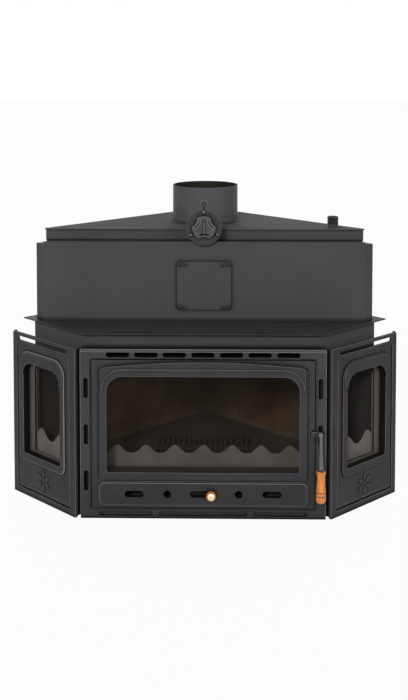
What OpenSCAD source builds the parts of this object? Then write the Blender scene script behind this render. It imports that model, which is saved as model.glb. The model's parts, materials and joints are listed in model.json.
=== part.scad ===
// Corner boiler insert: a wood fireplace with three windows, a water jacket in its two back
// walls and a smoke hood above. Millimetres, +Z up, front towards -Y. The origin is on the
// floor under the axis of the flue collar.

/* [Front frame] */
// Width of the cast front frame
frame_w = 688; // [660:2:720]
// Height of the cast front frame
frame_h = 482; // [470:2:500]
// Thickness of the cast front frame
frame_t = 18; // [16:1:22]
// Distance from the flue axis to the front face
frame_reach = 392; // [380:2:410]
// Width of the frame beside the door opening
frame_side = 28.5; // [26:0.5:32]
// Height of the frame over the door opening
frame_top = 27; // [26:1:30]
// Height of the opening's sill over the floor
opening_z = 28; // [24:1:32]
// Length of a top air slot
top_slot_l = 66; // [50:1:68]
// Height of a top air slot
top_slot_h = 14.6; // [10:0.2:16]
// Spacing of the top air slots
top_slot_pitch = 79.5; // [74:0.5:84]
// Height of the side air slots
side_slot_l = 58; // [44:1:70]
// Width of the side air slots
side_slot_w = 13; // [11:0.5:14]
// Spacing of the side air slots
side_slot_pitch = 132; // [110:1:140]
// Length of the middle recess in the sill
sill_mid_l = 249; // [220:1:256]
// Length of the outer recesses in the sill
sill_end_l = 152; // [120:1:160]

/* [Door] */
// Running gap round the door
door_gap = 3.5; // [3:0.5:5]
// Thickness of the door plate
door_t = 12; // [11:1:14]
// Width of the door beside its window
stile_w = 42; // [40:1:56]
// Height of the door over its window
top_rail = 45.5; // [44:0.5:60]
// Height of the window's lower edge over the floor
window_z = 133; // [130:1:145]
// Corner radius at the top of the door window
window_r = 44; // [20:1:60]
// Width of the raised moulding round the window
mould_w = 20; // [12:1:22]
// Relief of the raised mouldings
relief = 4; // [3:0.5:6]
// Rise of the arched brow over the window
brow_rise = 17; // [8:1:18]
// Thickness of the glass panes
glass_t = 4; // [3:0.5:5]
// Diameter of the hinge pins
hinge_pin_d = 7; // [6:0.5:8]

/* [Air shutter] */
// Length of an air slot in the door
air_slot_l = 54; // [44:1:60]
// Height of an air slot in the door
air_slot_h = 19; // [15:1:19]
// Diameter of the round air holes
air_hole_d = 22; // [12:1:24]
// Distance from the door's edge to an outer air slot
air_slot_in = 119; // [115:1:130]
// Distance from the middle to a round air hole
air_hole_x = 100; // [92:1:110]
// Travel of the air shutter
shutter_travel = 54; // [50:1:56]
// Diameter of the shutter knob
air_knob_d = 29; // [24:1:32]

/* [Door handle] */
// Height of the latch spindle over the frame's middle slot
latch_rise = 4; // [0:1:8]
// Length of the lever down to the grip
lever_l = 97; // [85:1:105]
// Length of the wooden grip
grip_l = 93; // [80:1:100]
// Diameter of the wooden grip
grip_d = 31; // [26:1:34]
// Diameter of the latch spindle
spindle_d = 8; // [7:0.5:9]

/* [Side windows] */
// Width of a cast side panel
panel_w = 297; // [285:1:305]
// Thickness of a cast side panel
panel_t = 8; // [6:1:10]
// Dark gap between the front frame and a side panel
panel_gap = 14.5; // [10:0.5:20]
// Width of a side window
side_win_w = 176; // [160:1:180]
// Height of a side panel over its window
side_rail = 81; // [76:1:100]
// Distance from a panel's inner edge to its window
side_win_u = 66; // [62:1:72]
// Corner radius at the top of a side window
side_win_r = 38; // [20:1:50]

/* [Lower body] */
// Overlap of the front frame past the body's front wall
body_lap = 13; // [10:1:16]
// Distance from the flue axis to the back corner
corner_reach = 293; // [286:1:300]
// Height of the fascia over the front frame
fascia_h = 39; // [35:1:50]
// Thickness of the body sheet
wall = 4; // [3:0.5:5]
// Depth of the water space in the back walls
water_gap = 40; // [30:1:45]
// Thickness of the shelf plate
shelf_t = 3; // [2:0.5:4]
// Overhang of the shelf plate at the front
shelf_front = 12; // [6:1:20]
// Overhang of the shelf plate at the back
shelf_back = 40; // [20:1:50]

/* [Hearth] */
// Height of the hearth floor over the base
floor_z = 46; // [40:1:46]
// Height of the cast hearth plate
hearth_z = 112; // [108:1:118]
// Thickness of the cast hearth plate
hearth_t = 12; // [8:1:14]
// Length of the grate
grate_w = 320; // [260:2:360]
// Depth of the grate
grate_d = 220; // [180:2:240]
// Spacing of the grate bars
grate_pitch = 16; // [14:1:20]
// Thickness of the firebricks
brick_t = 25; // [20:1:30]
// Height of the smoke's way over the baffle
throat_h = 92; // [85:1:140]
// Height of a log guard's valleys over the hearth
guard_h = 40; // [30:1:50]
// Height of a log guard's peaks over its valleys
guard_peak = 24; // [16:1:30]

/* [Hood] */
// Distance from the flue axis to the hood's front
hood_reach = 225; // [215:1:235]
// Sideways run of the hood's folded returns
hood_return = 24.5; // [20:0.5:30]
// Height of the hood above the shelf
hood_h = 225; // [215:1:240]
// Upstand of the hood's front sheet over its top
hood_lip = 8; // [4:1:12]
// Thickness of the hood sheet
hood_t = 3; // [2.5:0.5:4]
// Width of the inspection cover
cover_w = 158; // [140:2:180]
// Height of the inspection cover
cover_h = 140; // [120:2:160]

/* [Top tank] */
// Distance from the flue axis to the tank's front
tank_reach = 181; // [172:1:190]
// Height of the tank above the hood
tank_h = 40; // [34:1:46]
// Height of the recessed neck under the tank
neck_h = 7; // [6:1:14]
// Overhang of the tank's top plate
tank_over = 3; // [2:0.5:5]
// Outer diameter of the flow and return pipes
pipe_d = 33.7; // [26.9:0.1:42.4]
// Wall of the flow and return pipes
pipe_t = 3.2; // [2.5:0.1:4]
// Distance from the tank's corner to the flow pipe
flow_in = 91; // [80:1:110]
// Height of the flow pipe above the tank
flow_h = 30; // [25:1:45]
// Length of the return pipe behind the body
return_l = 34; // [30:1:50]

/* [Flue and damper] */
// Outer diameter of the flue collar
flue_d = 200; // [180:5:200]
// Wall of the flue collar
flue_t = 3; // [2:0.5:4]
// Height of the collar above the tank
flue_h = 111; // [100:1:130]
// Diameter of the damper spindle
rod_d = 10; // [8:0.5:12]
// Height of the spindle above the tank
rod_rise = 12; // [10:0.5:16]
// Diameter of the damper's handwheel
wheel_d = 104; // [90:2:108]
// Distance from the hood's front to the handwheel
wheel_gap = 8; // [6:1:16]

/* [Hidden] */
iron = "#3e3f41";
steel = "#48484a";
dark = "#2e2e30";
warm = "#55504b";
rope_white = "#8a877f";
root2 = sqrt(2);
eps = 0.01;
slip = 0.05;
clear = 0.5;
$fn = 64;

// Handwheel: boss, the circles that hollow it, and what sits on it
boss_r = wheel_d * 0.32;
boss_t = 6;
hollow_at = wheel_d * 0.48;
hollow_r = wheel_d * 0.23;
wheel_slot = 5.2;
wheel_t = 6;
wheel_screw_at = wheel_d * 0.42;
wheel_screw_r = 5.4;
finger_up = 18;
finger_d = 20;

// Levels
slot_z = frame_h - 16;
body_h = frame_h + fascia_h;
shelf_z = body_h + shelf_t;
hood_top = shelf_z + hood_h;
tank_top = hood_top + tank_h;
flue_top = tank_top + flue_h;
rod_z = tank_top + rod_rise;
pan_z = floor_z + wall;
fire_z = hearth_z + hearth_t;
baffle_t = 5;
brick_h = body_h - throat_h - baffle_t - fire_z;

// Plan of the lower body: front wall, facet and back wall lines
body_w = frame_w - 2 * body_lap;
front_y = -frame_reach + frame_t;
facet_k = body_w / 2 - front_y;
apex = corner_reach;
facet_run = (apex - body_w / 2 - front_y) / 2;
hood_w = 2 * (hood_reach + apex - 2 * hood_return);
corner_x = body_w / 2 + facet_run;
corner_y = front_y + facet_run;
back_l = corner_x * root2;
hood_k = hood_w / 2 + hood_reach;

// Front frame
opening_w = frame_w - 2 * frame_side;
opening_h = frame_h - frame_top - opening_z;
opening_r = 6;
side_slot_mid = frame_h / 2 - 1;
sill_pitch = 217;
sill_slot_h = 14;
edge_line = 2.2;
edge_deep = 2.5;
edge_down = 6.6;

// Door and seal
door_w = opening_w - 2 * door_gap;
door_h = opening_h - 2 * door_gap;
door_z = opening_z + door_gap;
door_back = -frame_reach + door_t;
rope_t = front_y - door_back;
rope_w = 10;
seal_in = 8;
window_w = door_w - 2 * stile_w;
window_h = door_z + door_h - top_rail - window_z;
air_slot_x = door_w / 2 - air_slot_in;
mouth_w = door_w - 2 * (seal_in + rope_w + 2);
mouth_z = pan_z;
mouth_h = door_z + door_h - seal_in - rope_w - 2 - mouth_z;
hinge_in = 5.5;
hinge_x = -door_w / 2 + hinge_in;
hinge_y = -frame_reach + door_t / 2;
brow_w = window_w + 2 * mould_w - 10;
brow_over = 24;
brow_leg = 38;
brow_r = 7;
brow_t = 3;
bead_t = 2;
arch_deep = 1.6;
brow_top = window_z + window_h + brow_over;
arch_r = (brow_w * brow_w / 4 + brow_rise * brow_rise) / (2 * brow_rise);
bead_in = 14;
bead_up = 7;
bead_w = 3;
cove_w = 7;
apron_z = door_z + 4;
apron_w = window_w + 2 * mould_w + 10;
apron_r = 20;
apron_step = 4;
apron_h = window_z - mould_w - 5.5 - apron_z;
air_z = apron_z + apron_h / 2;
shutter_left = air_slot_x + air_slot_l / 2 + 6;
shutter_right = air_slot_x + air_slot_l / 2 + shutter_travel + 2;
shutter_h = air_slot_h + 11;
shutter_t = 2;
knob_stem_d = 8;
knob_cap_r = 8;
knob_x = 23;
mark_r = 120;
mark_w = 58;
air_mid_x = knob_x - shutter_travel / 2;
air_mid_l = shutter_travel + knob_stem_d + 3;
rail_l = 2 * shutter_right + 12;
latch_x = (frame_w + opening_w) / 4 - 2;
latch_z = side_slot_mid + latch_rise;
latch_arm_t = 4.5;
latch_hub_d = 13;
lever_tip_d = 8;
lever_foot_d = 16;
tongue_l = 22;
tongue_w = side_slot_w - 5;
tongue_t = 5;
pocket_t = 8;
grip_y = -frame_reach - grip_d / 2 - 6;

// Side panels
panel_x = frame_w / 2 + panel_gap;
panel_stand = (panel_x + frame_reach - facet_k) / root2;
facet_u = ((corner_x - panel_x) + (corner_y + frame_reach)) / root2;
flange_t = 4;
jamb_t = 5;
pane_seat = 12;
side_win_z = window_z - 4;
side_win_h = frame_h - side_rail - side_win_z;
side_open_u = side_win_u + pane_seat + 2;
side_open_w = facet_u - 16 - side_open_u;
side_open_z = window_z + 6;
side_open_h = side_win_h - 20;
guard_t = 3;
side_guard_h = 46;
side_guard_peak = 30;
side_pane_at = 9;
side_band_up = 34;
ray_r = 32;
groove_w = 6;
groove_d = 5;
field_in = 24;
field_z = 18;
post_w = 22;
fin_u = 4;
side_brow_leg = 35;
side_brow_in = 4;
side_brow_t = 2.5;

// Water jacket and lining
jacket_s = 190;
jacket_in = wall + water_gap;
brick_gap = 2;
brick_n = 3;
lining_in = jacket_in + wall;
return_s = 430;
return_z = 110;
riser_x = 120;
neck_in = 6;
tank_cut = 6;
collar_bead = 1.3;
pad_x = 200;
pad_w = 104;
pad_d = 14;
pad_up = 2;
clip_w = 24;
clip_h = 20;
clip_t = 2;
duct_d = 32;
duct_low = 8;
duct_up = 10;
flow_x = apex + tank_reach - flow_in;
flow_y = -tank_reach + 53;

// Points of the plans. Each is offset inwards by o from the outside of the sheets.
function body_plan(o, front = front_y, k = facet_k, b = apex) = let (
    y = front + o, kk = k - o * root2, bb = b - o * root2)
    [[-(kk + y), y], [kk + y, y], [(kk + bb) / 2, (bb - kk) / 2], [0, bb],
     [-(kk + bb) / 2, (bb - kk) / 2]];
function hood_plan(o) = body_plan(o, -hood_reach, hood_k, apex);
function tank_plan(o) = let (y = -tank_reach + o, b = apex - o * root2,
    x = apex + tank_reach - tank_cut - o)
    [[-x, y], [x, y], [x, b - x], [0, b], [-x, b - x]];
function neck_plan(o) = let (y = -tank_reach + neck_in + o, b = apex - o * root2)
    [[-(b - y), y], [b - y, y], [0, b]];
function throat_plan(o) = let (y = -hood_reach + o, b = apex - o * root2)
    [[-(b - y), y], [b - y, y], [0, b]];
function shelf_plan() = let (y = front_y - shelf_front, k = facet_k + shelf_front * root2,
    b = apex + shelf_back * root2)
    [[-(k + y), y], [k + y, y], [(k + b) / 2, (b - k) / 2], [0, b], [-(k + b) / 2, (b - k) / 2]];
// A point on the right back wall, s along it from the outer corner and o inwards
function back_pt(o, s) = [corner_x - (s + o) / root2, corner_y + (s - o) / root2];
function back_end(o) = back_l - o;

// Obround lying along X, by its full length and height
module obround(l, h) {
    square([l - h, h], center = true);
    for (side = [-1, 1])
        translate([side * (l - h) / 2, 0])
            circle(d = h);
}

// Rectangle with round corners, w wide and h high from the origin up, centred on X
module rounded(w, h, r_top, r_low) {
    translate([-w / 2, r_low])
        square([w, h - r_top - r_low]);
    translate([-w / 2 + r_top, 0])
        square([w - 2 * r_top, h]);
    translate([-w / 2 + r_low, 0])
        square([w - 2 * r_low, h / 2]);
    for (side = [-1, 1]) {
        translate([side * (w / 2 - r_top), h - r_top])
            circle(r = r_top);
        translate([side * (w / 2 - r_low), r_low])
            circle(r = r_low);
    }
}

// Stands a flat outline upright, its front face at y and t thick towards the back
module upright(y, t) {
    translate([0, y + t, 0])
        rotate([90, 0, 0])
            linear_extrude(t)
                children();
}

// Places a piece drawn along X on a side panel's line, side 1 right and -1 left
module beside(side) {
    mirror([side < 0 ? 1 : 0, 0, 0])
        translate([panel_x, -frame_reach, 0])
            rotate([0, 0, 45])
                children();
}

// One wall sheet of a five-sided plan, from edge point a to edge point b
module sheet(outer, inner, a, b, z, h) {
    translate([0, 0, z])
        linear_extrude(h)
            polygon([outer[a], outer[b], inner[b], inner[a]]);
}

// Outer slots and round holes for air, cut in the door's apron and its shutter
module air_holes() {
    for (side = [-1, 1]) {
        translate([side * air_slot_x, 0])
            obround(air_slot_l, air_slot_h);
        translate([side * air_hole_x, 0])
            circle(d = air_hole_d);
    }
}

module base_plate() {
    color(dark)
        linear_extrude(wall)
            polygon(body_plan(0));
}

module body_front() {
    color(steel)
        difference() {
            sheet(body_plan(0), body_plan(wall), 0, 1, wall, body_h - wall);
            upright(front_y - 1, wall + 2)
                translate([0, mouth_z])
                    rounded(mouth_w, mouth_h, 8, 8);
            upright(front_y - 1, wall + 2)
                translate([0, slot_z])
                    top_slots();
        }
}

module top_slots() {
    for (i = [-3:3])
        translate([i * top_slot_pitch, 0])
            obround(top_slot_l, top_slot_h);
}

module side_wall(side) {
    color(steel)
        difference() {
            sheet(body_plan(0), body_plan(wall), side > 0 ? 1 : 0, side > 0 ? 2 : 4,
                wall, body_h - wall);
            beside(side)
                upright(panel_stand - 1, wall + 2)
                    translate([side_open_u + side_open_w / 2, side_open_z])
                        rounded(side_open_w, side_open_h, 20, 4);
        }
}

module side_wall_left() {
    side_wall(-1);
}

module side_wall_right() {
    side_wall(1);
}

module back_wall_left() {
    color(dark)
        sheet(body_plan(0), body_plan(wall), 3, 4, wall, body_h - wall);
}

module back_wall_right() {
    color(dark)
        difference() {
            sheet(body_plan(0), body_plan(wall), 2, 3, wall, body_h - wall);
            return_axis()
                cylinder(d = pipe_d - 2 * pipe_t, h = 3 * wall, center = true);
        }
}

// Puts a piece drawn along +Z on the return pipe's axis, from the wall's face outwards
module return_axis() {
    translate([back_pt(0, return_s)[0], back_pt(0, return_s)[1], return_z])
        rotate([0, 0, 45])
            rotate([0, 90, 0])
                children();
}

// Half of the V-shaped water jacket: a channel that the back wall closes
module jacket(side) {
    color(dark)
        mirror([side < 0 ? 1 : 0, 0, 0])
            difference() {
                translate([0, 0, pan_z])
                    linear_extrude(body_h - pan_z)
                        polygon([back_pt(wall, jacket_s), back_pt(lining_in, jacket_s),
                            back_pt(lining_in, back_end(lining_in)), back_pt(wall, back_end(wall))]);
                translate([0, 0, pan_z + wall])
                    linear_extrude(body_h - pan_z - 2 * wall)
                        polygon([back_pt(wall - 1, jacket_s + wall), back_pt(jacket_in, jacket_s + wall),
                            back_pt(jacket_in, back_end(jacket_in) + 1),
                            back_pt(wall - 1, back_end(wall) + 2)]);
                translate([riser_x, riser_y(), body_h - 2 * wall])
                    cylinder(d = pipe_d - 2 * pipe_t, h = 3 * wall);
            }
}

function riser_y() = apex - riser_x - (wall + water_gap / 2) * root2;

module water_jacket_left() {
    jacket(-1);
}

module water_jacket_right() {
    jacket(1);
}

// Floor of the ash space, a plate inside the walls
module ash_floor() {
    color(dark)
        translate([0, 0, floor_z])
            linear_extrude(wall)
                polygon(body_plan(wall));
}

// Plate that closes the lower body and carries the hood, open in the middle for the smoke
module shelf_plate() {
    color(steel) {
        difference() {
            translate([0, 0, body_h])
                linear_extrude(shelf_t)
                    polygon(shelf_plan());
            translate([0, 0, body_h - 1])
                linear_extrude(shelf_t + 2)
                    polygon(throat_plan(lining_in + 6));
            for (side = [-1, 1])
                translate([side * riser_x, riser_y(), body_h - 1])
                    cylinder(d = pipe_d - 2 * pipe_t, h = shelf_t + 2);
        }
        for (side = [-1, 1])
            translate([side * pad_x - pad_w / 2, front_y + wall, body_h + shelf_t / 2])
                cube([pad_w, pad_d, shelf_t / 2 + pad_up]);
    }
}

module front_frame() {
    color(iron)
        difference() {
            upright(-frame_reach, frame_t)
                difference() {
                    rounded(frame_w, frame_h, 3, 3);
                    translate([0, opening_z])
                        rounded(opening_w, opening_h, opening_r, opening_r);
                    translate([0, slot_z])
                        top_slots();
                    for (side = [-1, 1])
                        for (i = [-1:1])
                            translate([side * latch_x, side_slot_z(i)])
                                rotate(90)
                                    obround(side_slot_l, side_slot_w);
                }
            // Three shallow recesses along the sill
            upright(-frame_reach - 1, 5)
                for (i = [-1:1])
                    translate([i * sill_pitch, opening_z / 2 + 0.5])
                        obround(i == 0 ? sill_mid_l : sill_end_l, sill_slot_h);
            // Pocket behind the slot that the latch turns in
            translate([latch_x - tongue_l / 2 - 1, front_y - pocket_t, latch_z - 34])
                cube([tongue_l + 2, pocket_t + 1, 68]);
            // Fine step round the opening
            upright(-frame_reach - 1, 3)
                translate([0, opening_z - 3])
                    rounded(opening_w + 6, opening_h + 6, opening_r + 3, opening_r + 3);
            // Fine line along the top edge
            translate([-frame_w / 2 + 3, -frame_reach - 1, frame_h - edge_down])
                cube([frame_w - 6, 1 + edge_deep, edge_line]);
            hinge_bores(hinge_pin_d + 2 * slip);
        }
}

function side_slot_z(i) = side_slot_mid + i * side_slot_pitch;

// Bores for the two hinge pins, above and below the door
module hinge_bores(d) {
    for (z = [door_z - 14, door_z + door_h - 14])
        translate([hinge_x, hinge_y, z])
            cylinder(d = d, h = 28);
}

module hinge_pins() {
    color(dark)
        for (z = [door_z - 10, door_z + door_h - 12])
            translate([hinge_x, hinge_y, z])
                cylinder(d = hinge_pin_d, h = 22);
}

// Outline of the door's window, from its own lower edge
module door_window() {
    translate([0, window_z])
        rounded(window_w, window_h, window_r, 8);
}

// Outline of the raised band's outer edge, grown by o
module mould_outline(o) {
    translate([0, window_z - mould_w - o])
        rounded(window_w + 2 * (mould_w + o), brow_top - 2 - window_z + mould_w + 2 * o,
            brow_r + 3 + o, 10 + o);
}

// Raised band round the window
module window_mould() {
    difference() {
        mould_outline(0);
        door_window();
    }
}

// Cove beside the raised band, w wide
module mould_cove(w) {
    difference() {
        mould_outline(w);
        mould_outline(0);
    }
}

// Bead inside the brow, round the window's top corners
module window_bead() {
    intersection() {
        difference() {
            translate([0, window_z - bead_in])
                rounded(window_w + 2 * bead_in, window_h + 2 * bead_in + bead_up, window_r + bead_in, 8);
            translate([0, window_z - bead_in + bead_w])
                rounded(window_w + 2 * (bead_in - bead_w), window_h + 2 * (bead_in - bead_w) + bead_up,
                    window_r + bead_in - bead_w, 8);
        }
        translate([-window_w, window_z + window_h - brow_leg])
            square([2 * window_w, 2 * brow_leg]);
    }
}

// Height of the brow's arch at the distance x from the middle
function arch_z(x) = brow_top + brow_rise - arch_r + sqrt(arch_r * arch_r - x * x);

// Everything under the arch, o higher than the brow itself
module under_arch(o) {
    translate([0, brow_top + brow_rise - arch_r])
        circle(r = arch_r + o, $fn = 720);
}

// Brow over the window: an arched ridge with round shoulders and two short legs
module brow() {
    foot = window_z + window_h - brow_leg;
    shoulder = brow_w / 2 - brow_r;
    difference() {
        union() {
            intersection() {
                translate([-shoulder, foot])
                    square([2 * shoulder, brow_leg + brow_over + brow_rise]);
                under_arch(0);
            }
            for (side = [-1, 1])
                translate([side * shoulder, 0]) {
                    translate([0, arch_z(shoulder) - brow_r])
                        circle(r = brow_r);
                    translate([-brow_r, foot])
                        square([2 * brow_r, arch_z(shoulder) - brow_r - foot]);
                }
        }
        door_window();
    }
}

// Fine groove along the upper side of the arch
module arch_line() {
    intersection() {
        difference() {
            under_arch(2.5);
            under_arch(0);
        }
        translate([-brow_w / 2 + brow_r, window_z])
            square([brow_w - 2 * brow_r, window_h + top_rail]);
    }
}

// Door plate with the raised band round its window and a soft cove beside it, in two steps
module coved_plate() {
    difference() {
        union() {
            upright(-frame_reach, door_t)
                difference() {
                    translate([0, door_z])
                        rounded(door_w, door_h, 2, 2);
                    door_window();
                }
            upright(-frame_reach - relief, relief + eps)
                window_mould();
        }
        upright(-frame_reach - 1, 2)
            mould_cove(cove_w);
        upright(-frame_reach - 1, 3.2)
            mould_cove(cove_w / 2);
    }
}

module door() {
    color(iron)
        difference() {
            union() {
                coved_plate();
                upright(-frame_reach - relief - brow_t, relief + brow_t + eps)
                    brow();
                upright(-frame_reach - relief - brow_t - bead_t, bead_t + eps)
                    window_bead();
                // Apron, in two steps
                for (i = [0, 1])
                    upright(-frame_reach - relief * (i + 1) / 2, relief * (i + 1) / 2 + eps)
                        translate([0, apron_z + i * apron_step])
                            rounded(apron_w - 2 * i * apron_step, apron_h - 2 * i * apron_step,
                                apron_r - i * apron_step, apron_r - i * apron_step);
                // Small arc mark over the middle slot
                upright(-frame_reach - relief - 1.5, 1.5 + eps)
                    translate([0, air_z + air_slot_h / 2 + 4])
                        intersection() {
                            translate([0, 4 - mark_r])
                                circle(r = mark_r);
                            translate([-mark_w / 2, 0])
                                square([mark_w, 8]);
                        }
                // Rails that guide the shutter
                for (z = [air_z - shutter_h / 2 - 4 - clear, air_z + shutter_h / 2 + clear])
                    translate([-rail_l / 2, door_back - eps, z])
                        cube([rail_l, shutter_t + 2, 4]);
                for (z = [air_z - shutter_h / 2 - 4 - clear, air_z + shutter_h / 2 - 3])
                    translate([-rail_l / 2, door_back + shutter_t + 0.6, z])
                        cube([rail_l, 1.5, 7 + clear]);
                latch_lug();
            }
            upright(-frame_reach - 1, 1 + arch_deep)
                arch_line();
            upright(-frame_reach - relief - 2, door_t + relief + 4)
                translate([0, air_z]) {
                    air_holes();
                    translate([air_mid_x, 0])
                        obround(air_mid_l, air_slot_h);
                }
            // Rebate that the pane lies in
            upright(door_back - glass_t - 2, glass_t + 3)
                translate([0, window_z - pane_seat])
                    rounded(window_w + 2 * pane_seat, window_h + 2 * pane_seat, 20, 8);
            hinge_bores(hinge_pin_d);
            // Bore of the latch spindle
            translate([latch_x, -frame_reach + 1, latch_z])
                rotate([90, 0, 0])
                    cylinder(d = spindle_d + 2 * slip, h = 3 * latch_arm_t);
        }
}

// Flat lug that carries the latch spindle in front of the frame
module latch_lug() {
    y = -frame_reach - clear - latch_arm_t;
    x = door_w / 2 - 9;
    translate([x, y, latch_z - latch_hub_d / 2])
        cube([latch_x - x, latch_arm_t, latch_hub_d]);
    translate([x, y, latch_z - latch_hub_d / 2])
        cube([8, latch_arm_t + clear + eps, latch_hub_d]);
    translate([latch_x, y + latch_arm_t, latch_z])
        rotate([90, 0, 0])
            cylinder(d = latch_hub_d, h = latch_arm_t);
}

module door_glass() {
    color([0.35, 0.35, 0.36, 0.4])
        upright(door_back - glass_t - 2, glass_t)
            translate([0, window_z - pane_seat + 1])
                rounded(window_w + 2 * pane_seat - 2, window_h + 2 * pane_seat - 2, 19, 7);
}

// Cord between the pane and its clips
module glass_gasket() {
    color(rope_white)
        upright(door_back - 2, 2)
            difference() {
                translate([0, window_z - pane_seat + 1])
                    rounded(window_w + 2 * pane_seat - 2, window_h + 2 * pane_seat - 2, 19, 7);
                translate([0, window_z - 2])
                    rounded(window_w + 4, window_h + 4, window_r, 10);
            }
}

// Seal between the door and the body front
module door_rope() {
    color(rope_white)
        upright(door_back, rope_t)
            difference() {
                translate([0, door_z + seal_in])
                    rounded(door_w - 2 * seal_in, door_h - 2 * seal_in, 14, 14);
                translate([0, door_z + seal_in + rope_w])
                    rounded(door_w - 2 * (seal_in + rope_w), door_h - 2 * (seal_in + rope_w), 6, 6);
            }
}

// Clips that hold the pane from behind
module glass_clips() {
    color(dark)
        for (side = [-1, 1])
            for (z = [window_z - pane_seat - 4, window_z + window_h + pane_seat + 4])
                translate([side * window_w / 4 - clip_w / 2, door_back, z - clip_h / 2])
                    cube([clip_w, clip_t, clip_h]);
}

module air_shutter() {
    color(dark)
        difference() {
            translate([-shutter_left, door_back + 0.3, air_z - shutter_h / 2])
                cube([shutter_left + shutter_right, shutter_t, shutter_h]);
            upright(door_back - 1, 5)
                translate([0, air_z])
                    air_holes();
        }
}

// Stem and turned knob that slide the shutter
module air_knob() {
    color("#c8893a")
        translate([knob_x, door_back + 0.3, air_z])
            rotate([90, 0, 0])
                rotate_extrude()
                    polygon([[0, 0], [knob_stem_d / 2, 0], [knob_stem_d / 2, door_t + relief + 4],
                        [air_knob_d / 2 - 4, door_t + relief + 6], [air_knob_d / 2, door_t + relief + 11],
                        [air_knob_d / 2, door_t + relief + 15], [air_knob_d / 2 - 3, door_t + relief + 19],
                        [air_knob_d / 2 - 4.5, door_t + relief + 20], [0, door_t + relief + 20]]);
}

// Bright screw in the middle of the knob
module air_knob_screw() {
    color("#e8dfc8")
        translate([knob_x, door_back + 0.3 - door_t - relief - 20, air_z])
            rotate([90, 0, 0])
                rotate_extrude()
                    polygon([[0, 0], [knob_cap_r, 0], [knob_cap_r - 0.6, 1.6],
                        [knob_cap_r - 3, 2.6], [0, 3]]);
}

// Spindle with its hub in front of the lug and its tongue behind the frame
module latch_spindle() {
    hub_y = -frame_reach - clear - latch_arm_t - 0.3;
    color(iron) {
        translate([latch_x, hub_y + eps, latch_z])
            rotate([90, 0, 0])
                cylinder(d = latch_hub_d, h = 8);
        translate([latch_x, hub_y, latch_z])
            rotate([-90, 0, 0])
                cylinder(d = spindle_d, h = front_y - 1 - hub_y);
        translate([latch_x - tongue_w / 2, front_y - 1 - tongue_t, latch_z - tongue_l / 2])
            cube([tongue_w, tongue_t, tongue_l]);
    }
}

// Forged lever from the hub down to the grip, bent forwards to clear the frame
module latch_lever() {
    hub_y = -frame_reach - clear - latch_arm_t - 0.3 - 8;
    color(iron) {
        hull() {
            translate([latch_x, hub_y, latch_z])
                rotate([90, 0, 0])
                    cylinder(d = lever_tip_d, h = 5, $fn = 32);
            translate([latch_x, grip_y, latch_z - lever_l * 0.4])
                cylinder(d = lever_tip_d + 1, h = 2, $fn = 32);
        }
        hull() {
            translate([latch_x, grip_y, latch_z - lever_l * 0.4])
                cylinder(d = lever_tip_d + 1, h = 2, $fn = 32);
            translate([latch_x, grip_y, latch_z - lever_l])
                cylinder(d = lever_foot_d, h = 4, $fn = 32);
        }
    }
}

// Turned wooden grip: flared top, waist, belly and rounded end
module latch_grip() {
    r = grip_d / 2;
    color("#c8782a")
        translate([latch_x, grip_y, latch_z - lever_l - grip_l])
            rotate_extrude()
                polygon(concat([[0, 0]],
                    [for (a = [0:10:90]) [4 + (r - 6) * sin(a), (r - 6) * (1 - cos(a))]],
                    [for (i = [1:12]) let (t = i / 12)
                        [r - 2 + 2 * sin(180 * t) - 3.5 * t * t, (r - 6) + t * (grip_l * 0.5 - r + 6)]],
                    [for (i = [1:8]) let (t = i / 8)
                        [r - 5.5 + 4.5 * t * t * t, grip_l * 0.5 + t * (grip_l * 0.5 - 5)]],
                    [[r - 1, grip_l - 1.5], [r - 2.5, grip_l], [0, grip_l]]));
}

// Outline of a side window
module side_window(grow) {
    translate([side_win_u + side_win_w / 2, side_win_z - grow])
        rounded(side_win_w + 2 * grow, side_win_h + 2 * grow, side_win_r + grow, 6 + grow);
}

// Outline of the raised band round a side window
module side_band() {
    translate([side_win_u + side_win_w / 2, side_win_z - mould_w])
        rounded(side_win_w + 2 * mould_w, side_win_h + mould_w + side_band_up, side_win_r + 8, mould_w);
}

// Raised brow on the band, over the window and a little way down beside it
module side_brow() {
    z = side_win_z + side_win_h - side_brow_leg;
    w = side_win_w + 2 * (mould_w - side_brow_in);
    difference() {
        translate([side_win_u + side_win_w / 2, z])
            rounded(w, side_brow_leg + side_band_up - side_brow_in, side_win_r, side_brow_in);
        side_window(0);
    }
}

// Six-ray relief under a side window
module rays() {
    for (a = [30:60:330])
        rotate(a)
            translate([ray_r * 0.25, 0])
                polygon([[0, 0], [ray_r * 0.4, -4.6], [ray_r * 0.75, 0], [ray_r * 0.4, 4.2]]);
}

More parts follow.
